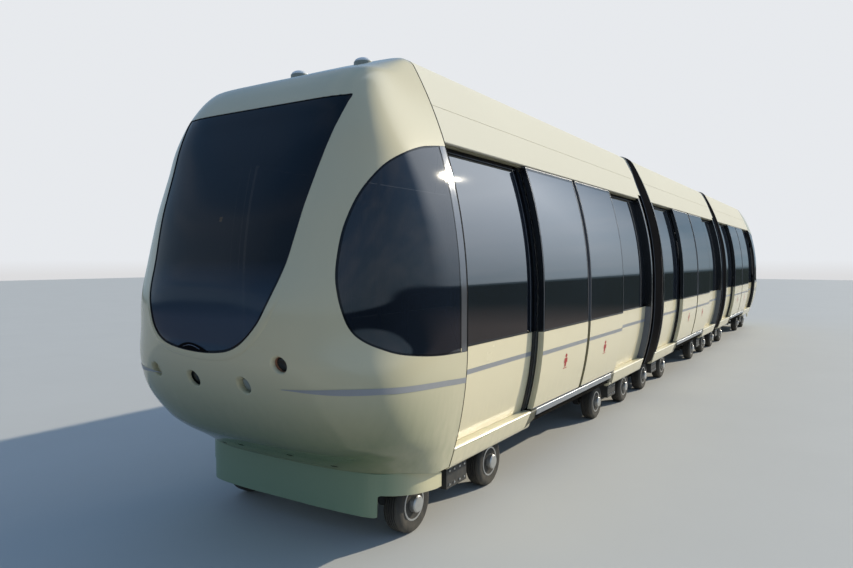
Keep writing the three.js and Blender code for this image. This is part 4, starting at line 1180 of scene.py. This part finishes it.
def wheelset_shape():
    shape = Shape()
    for side in SIDES:
        tread, rim, nut = ([(r, side * a) for r, a in rows] for rows in (TREAD, RIM, WHEEL_NUT))
        shape.turned(tread, (0, 0, 0), ACROSS, 64, 0).turned(rim, (0, 0, 0), ACROSS, 48, 1)
        for x, z in circle(0.08, 8):
            shape.turned(nut, (x, 0, z), ACROSS, 6, 1)
    return shape.turned([(0.035, -0.7), (0.035, 0.7)], (0, 0, 0), ACROSS, 24, 2)


def bogie_shape():
    shape = Shape()
    reach = WHEELBASE / 2
    part = Shape().box((-reach - 0.09, 0.54, 0.262), (reach + 0.09, 0.61, 0.33))
    part.box((-0.15, 0.605, 0.17), (0.15, 0.82, 0.33))
    for x in (-reach, reach):
        part.box((x - 0.062, 0.54, 0.25), (x + 0.062, 0.61, 0.267))
        part.grid([[(x + u, y, WHEEL_RADIUS + v) for u, v in circle(radius, 32)] for radius, y in
                   ((0.043, 0.545), (0.062, 0.545), (0.062, 0.605), (0.043, 0.605))], 0, True, True)
        part.tube([(x + 0.04 * cos(t), 0.575 + 0.026 * sin(t), 0.335 + 0.0176 * t / (2 * pi))
                   for t in np.linspace(0, 8 * pi, 65)], 0.006, 1, 6)
    for x in (-0.11, -0.04, 0.04, 0.11):
        for z in (0.2, 0.3):
            part.turned(BOLT, (x, 0, z), ACROSS, 6, 1)
    for side in SIDES:
        shape.join(part.flipped(1, side))
    shape.box((-0.13, -0.605, 0.262), (0.13, 0.605, 0.325))
    return shape.box((-0.22, -0.3, 0.32), (0.22, 0.3, SLAB_BOTTOM - 0.006))


wheel_mesh = wheelset_shape().mesh("wheelset", [TYRE, STEEL, IRON], 30)
bogie_mesh = bogie_shape().mesh("bogie", [IRON, STEEL])
for number in CARS:
    front_end = 0.37 if number in NOSE_CARS else 0.75
    for letter, x, first in (("a", front_end - CAR_END, 1), ("b", CAR_END - 0.75, 3)):
        at = car_matrix(number) @ Matrix.Translation((x, 0, 0))
        place(bogie_mesh, f"bogie_fine_{number}_{letter}", f"bogie_{number}_{letter}", "iron", at, (0.004, 2),
              [f"car_{number}_bogie_{letter}"])
        for axle in (first, first + 1):
            spot = at @ Matrix.Translation(((axle - first - 0.5) * WHEELBASE, 0, WHEEL_RADIUS))
            place(wheel_mesh, f"wheels_{number}_{axle}", f"wheelset_{number}_{axle}", "tyre", spot, None,
                  [f"car_{number}_wheelset_{axle}"])

# Cable grip: a plate, a stem and a bolted jaw over the cable
grip = Shape().box((-0.42, -0.17, 0.41), (0.42, 0.17, 0.4495)).box((-0.26, -0.06, 0.24), (0.26, 0.06, 0.412))
grip.box((-0.34, -0.075, 0.12), (0.34, -0.022, 0.168)).box((-0.34, 0.022, 0.12), (0.34, 0.075, 0.168))
grip.box((-0.34, -0.075, 0.165), (0.34, 0.075, 0.25))
for x in (-0.3, -0.1, 0.1, 0.3):
    for side in SIDES:
        grip.turned(GRIP_BOLT, (x, 0, 0.2), (0, side, 0), 6, 1)
place(grip.mesh("grip", [IRON, STEEL]), "cable_grip_fine", "car_2", "iron", None, (0.004, 2), ["cable_grip"])

# Floor
pale = material("pale_floor", (0.5, 0.5, 0.48), 0.8, variation=0.015, patch=0.6, grain=60, bump=0.03)
ground = Shape().fill([(-11.5, -5.4, 0), (60, -5.4, 0), (60, 60, 0), (-11.5, 60, 0)])
place(ground.mesh("floor", [pale]), "floor", None)

# Sky: the colours of its heights, cloud above, and a glow over the platform side, towards the sun
SKY_STOPS = [(0.0, (0.2, 0.17, 0.15)), (0.45, (0.2, 0.17, 0.15)), (0.468, (0.035, 0.045, 0.038)),
             (0.497, (0.035, 0.045, 0.038)), (0.502, (0.3, 0.42, 0.5)), (0.55, (0.34, 0.47, 0.58)),
             (0.65, (0.26, 0.4, 0.58)), (0.8, (0.12, 0.25, 0.47)), (1.0, (0.08, 0.2, 0.4))]
CLOUD = (0.8, 0.8, 0.84)
GLOW = (0.82, 0.9, 1.0)
GLOW_SPREAD = (0.962, 0.992)

world = bpy.data.worlds.new("studio")
bpy.context.scene.world = world
world.use_nodes = True
tree = world.node_tree
tree.nodes.clear()
coords = node(tree, "TexCoord").outputs["Generated"]
height = node(tree, "SeparateXYZ", coords).outputs["Z"]
sky = node(tree, "ValToRGB", spread(tree, height, 0, 1, -1, 1))
ramp = sky.color_ramp.elements
for stop in SKY_STOPS[1:-1]:
    ramp.new(stop[0])
for element, (at, color) in zip(ramp, SKY_STOPS):
    element.position, element.color = at, (*color, 1)
clouds = spread(tree, noise(tree, coords, 2.2, 5.0, (1, 1, 5)), 0, 0.35, 0.42, 0.7)
above = node(tree, "Math", height, 0.0, operation="GREATER_THAN").outputs["Value"]
clouded = mix(tree, above, sky.outputs["Color"], mix(tree, clouds, sky.outputs["Color"], CLOUD))

level = node(tree, "VectorMath", coords, (1, 1, 0), operation="MULTIPLY").outputs["Vector"]
heading = node(tree, "VectorMath", level, operation="NORMALIZE").outputs["Vector"]
toward = node(tree, "VectorMath", heading, GLOW_TOWARD, operation="DOT_PRODUCT").outputs["Value"]
haze = product(tree, spread(tree, height, 0.3, 1, 0.02, 0.3), above)
glow = product(tree, spread(tree, toward, 0, 1, *GLOW_SPREAD), haze)
strength = node(tree, "Math", glow, GLOW_STRENGTH, SKY_STRENGTH, operation="MULTIPLY_ADD").outputs["Value"]
felt = node(tree, "Background", mix(tree, glow, clouded, GLOW), strength)

# What the camera sees behind the train: a pale backdrop that goes on from the floor
backdrop = mix(tree, spread(tree, height, 0, 1, -0.02, 0.0), BACKDROP_LOW, BACKDROP_HIGH)
seen = node(tree, "Background", backdrop, 1.0)
ray = node(tree, "LightPath").outputs["Is Camera Ray"]
choice = node(tree, "MixShader", ray, felt.outputs["Background"], seen.outputs["Background"])
node(tree, "OutputWorld", choice.outputs["Shader"])

# The sun, as one lamp that mirrors nothing and one for the glint on the nose
for name, energy in (("key", SUN_STRENGTH), ("glint", GLINT_STRENGTH)):
    data = bpy.data.lights.new(name, "SUN")
    data.energy = energy
    data.color = SUN_COLOR
    data.angle = radians(SUN_ANGLE)
    lamp = linked(name, data)
    lamp.rotation_euler = Vector(SUN_TOWARD).to_track_quat("Z", "Y").to_euler()
    lamp.visible_glossy = name == "glint"

camera_data = bpy.data.cameras.new("camera")
camera_data.lens = CAMERA_LENS
camera_data.sensor_width = 36
camera_data.clip_end = 500
camera = linked("camera", camera_data)
axes = Matrix((CAMERA_RIGHT, CAMERA_UP, [-c for c in CAMERA_FORWARD])).transposed().to_4x4()
camera.matrix_world = Matrix.Translation(CAMERA_PLACE) @ axes
bpy.context.scene.camera = camera
bpy.context.scene.view_settings.view_transform = "Standard"
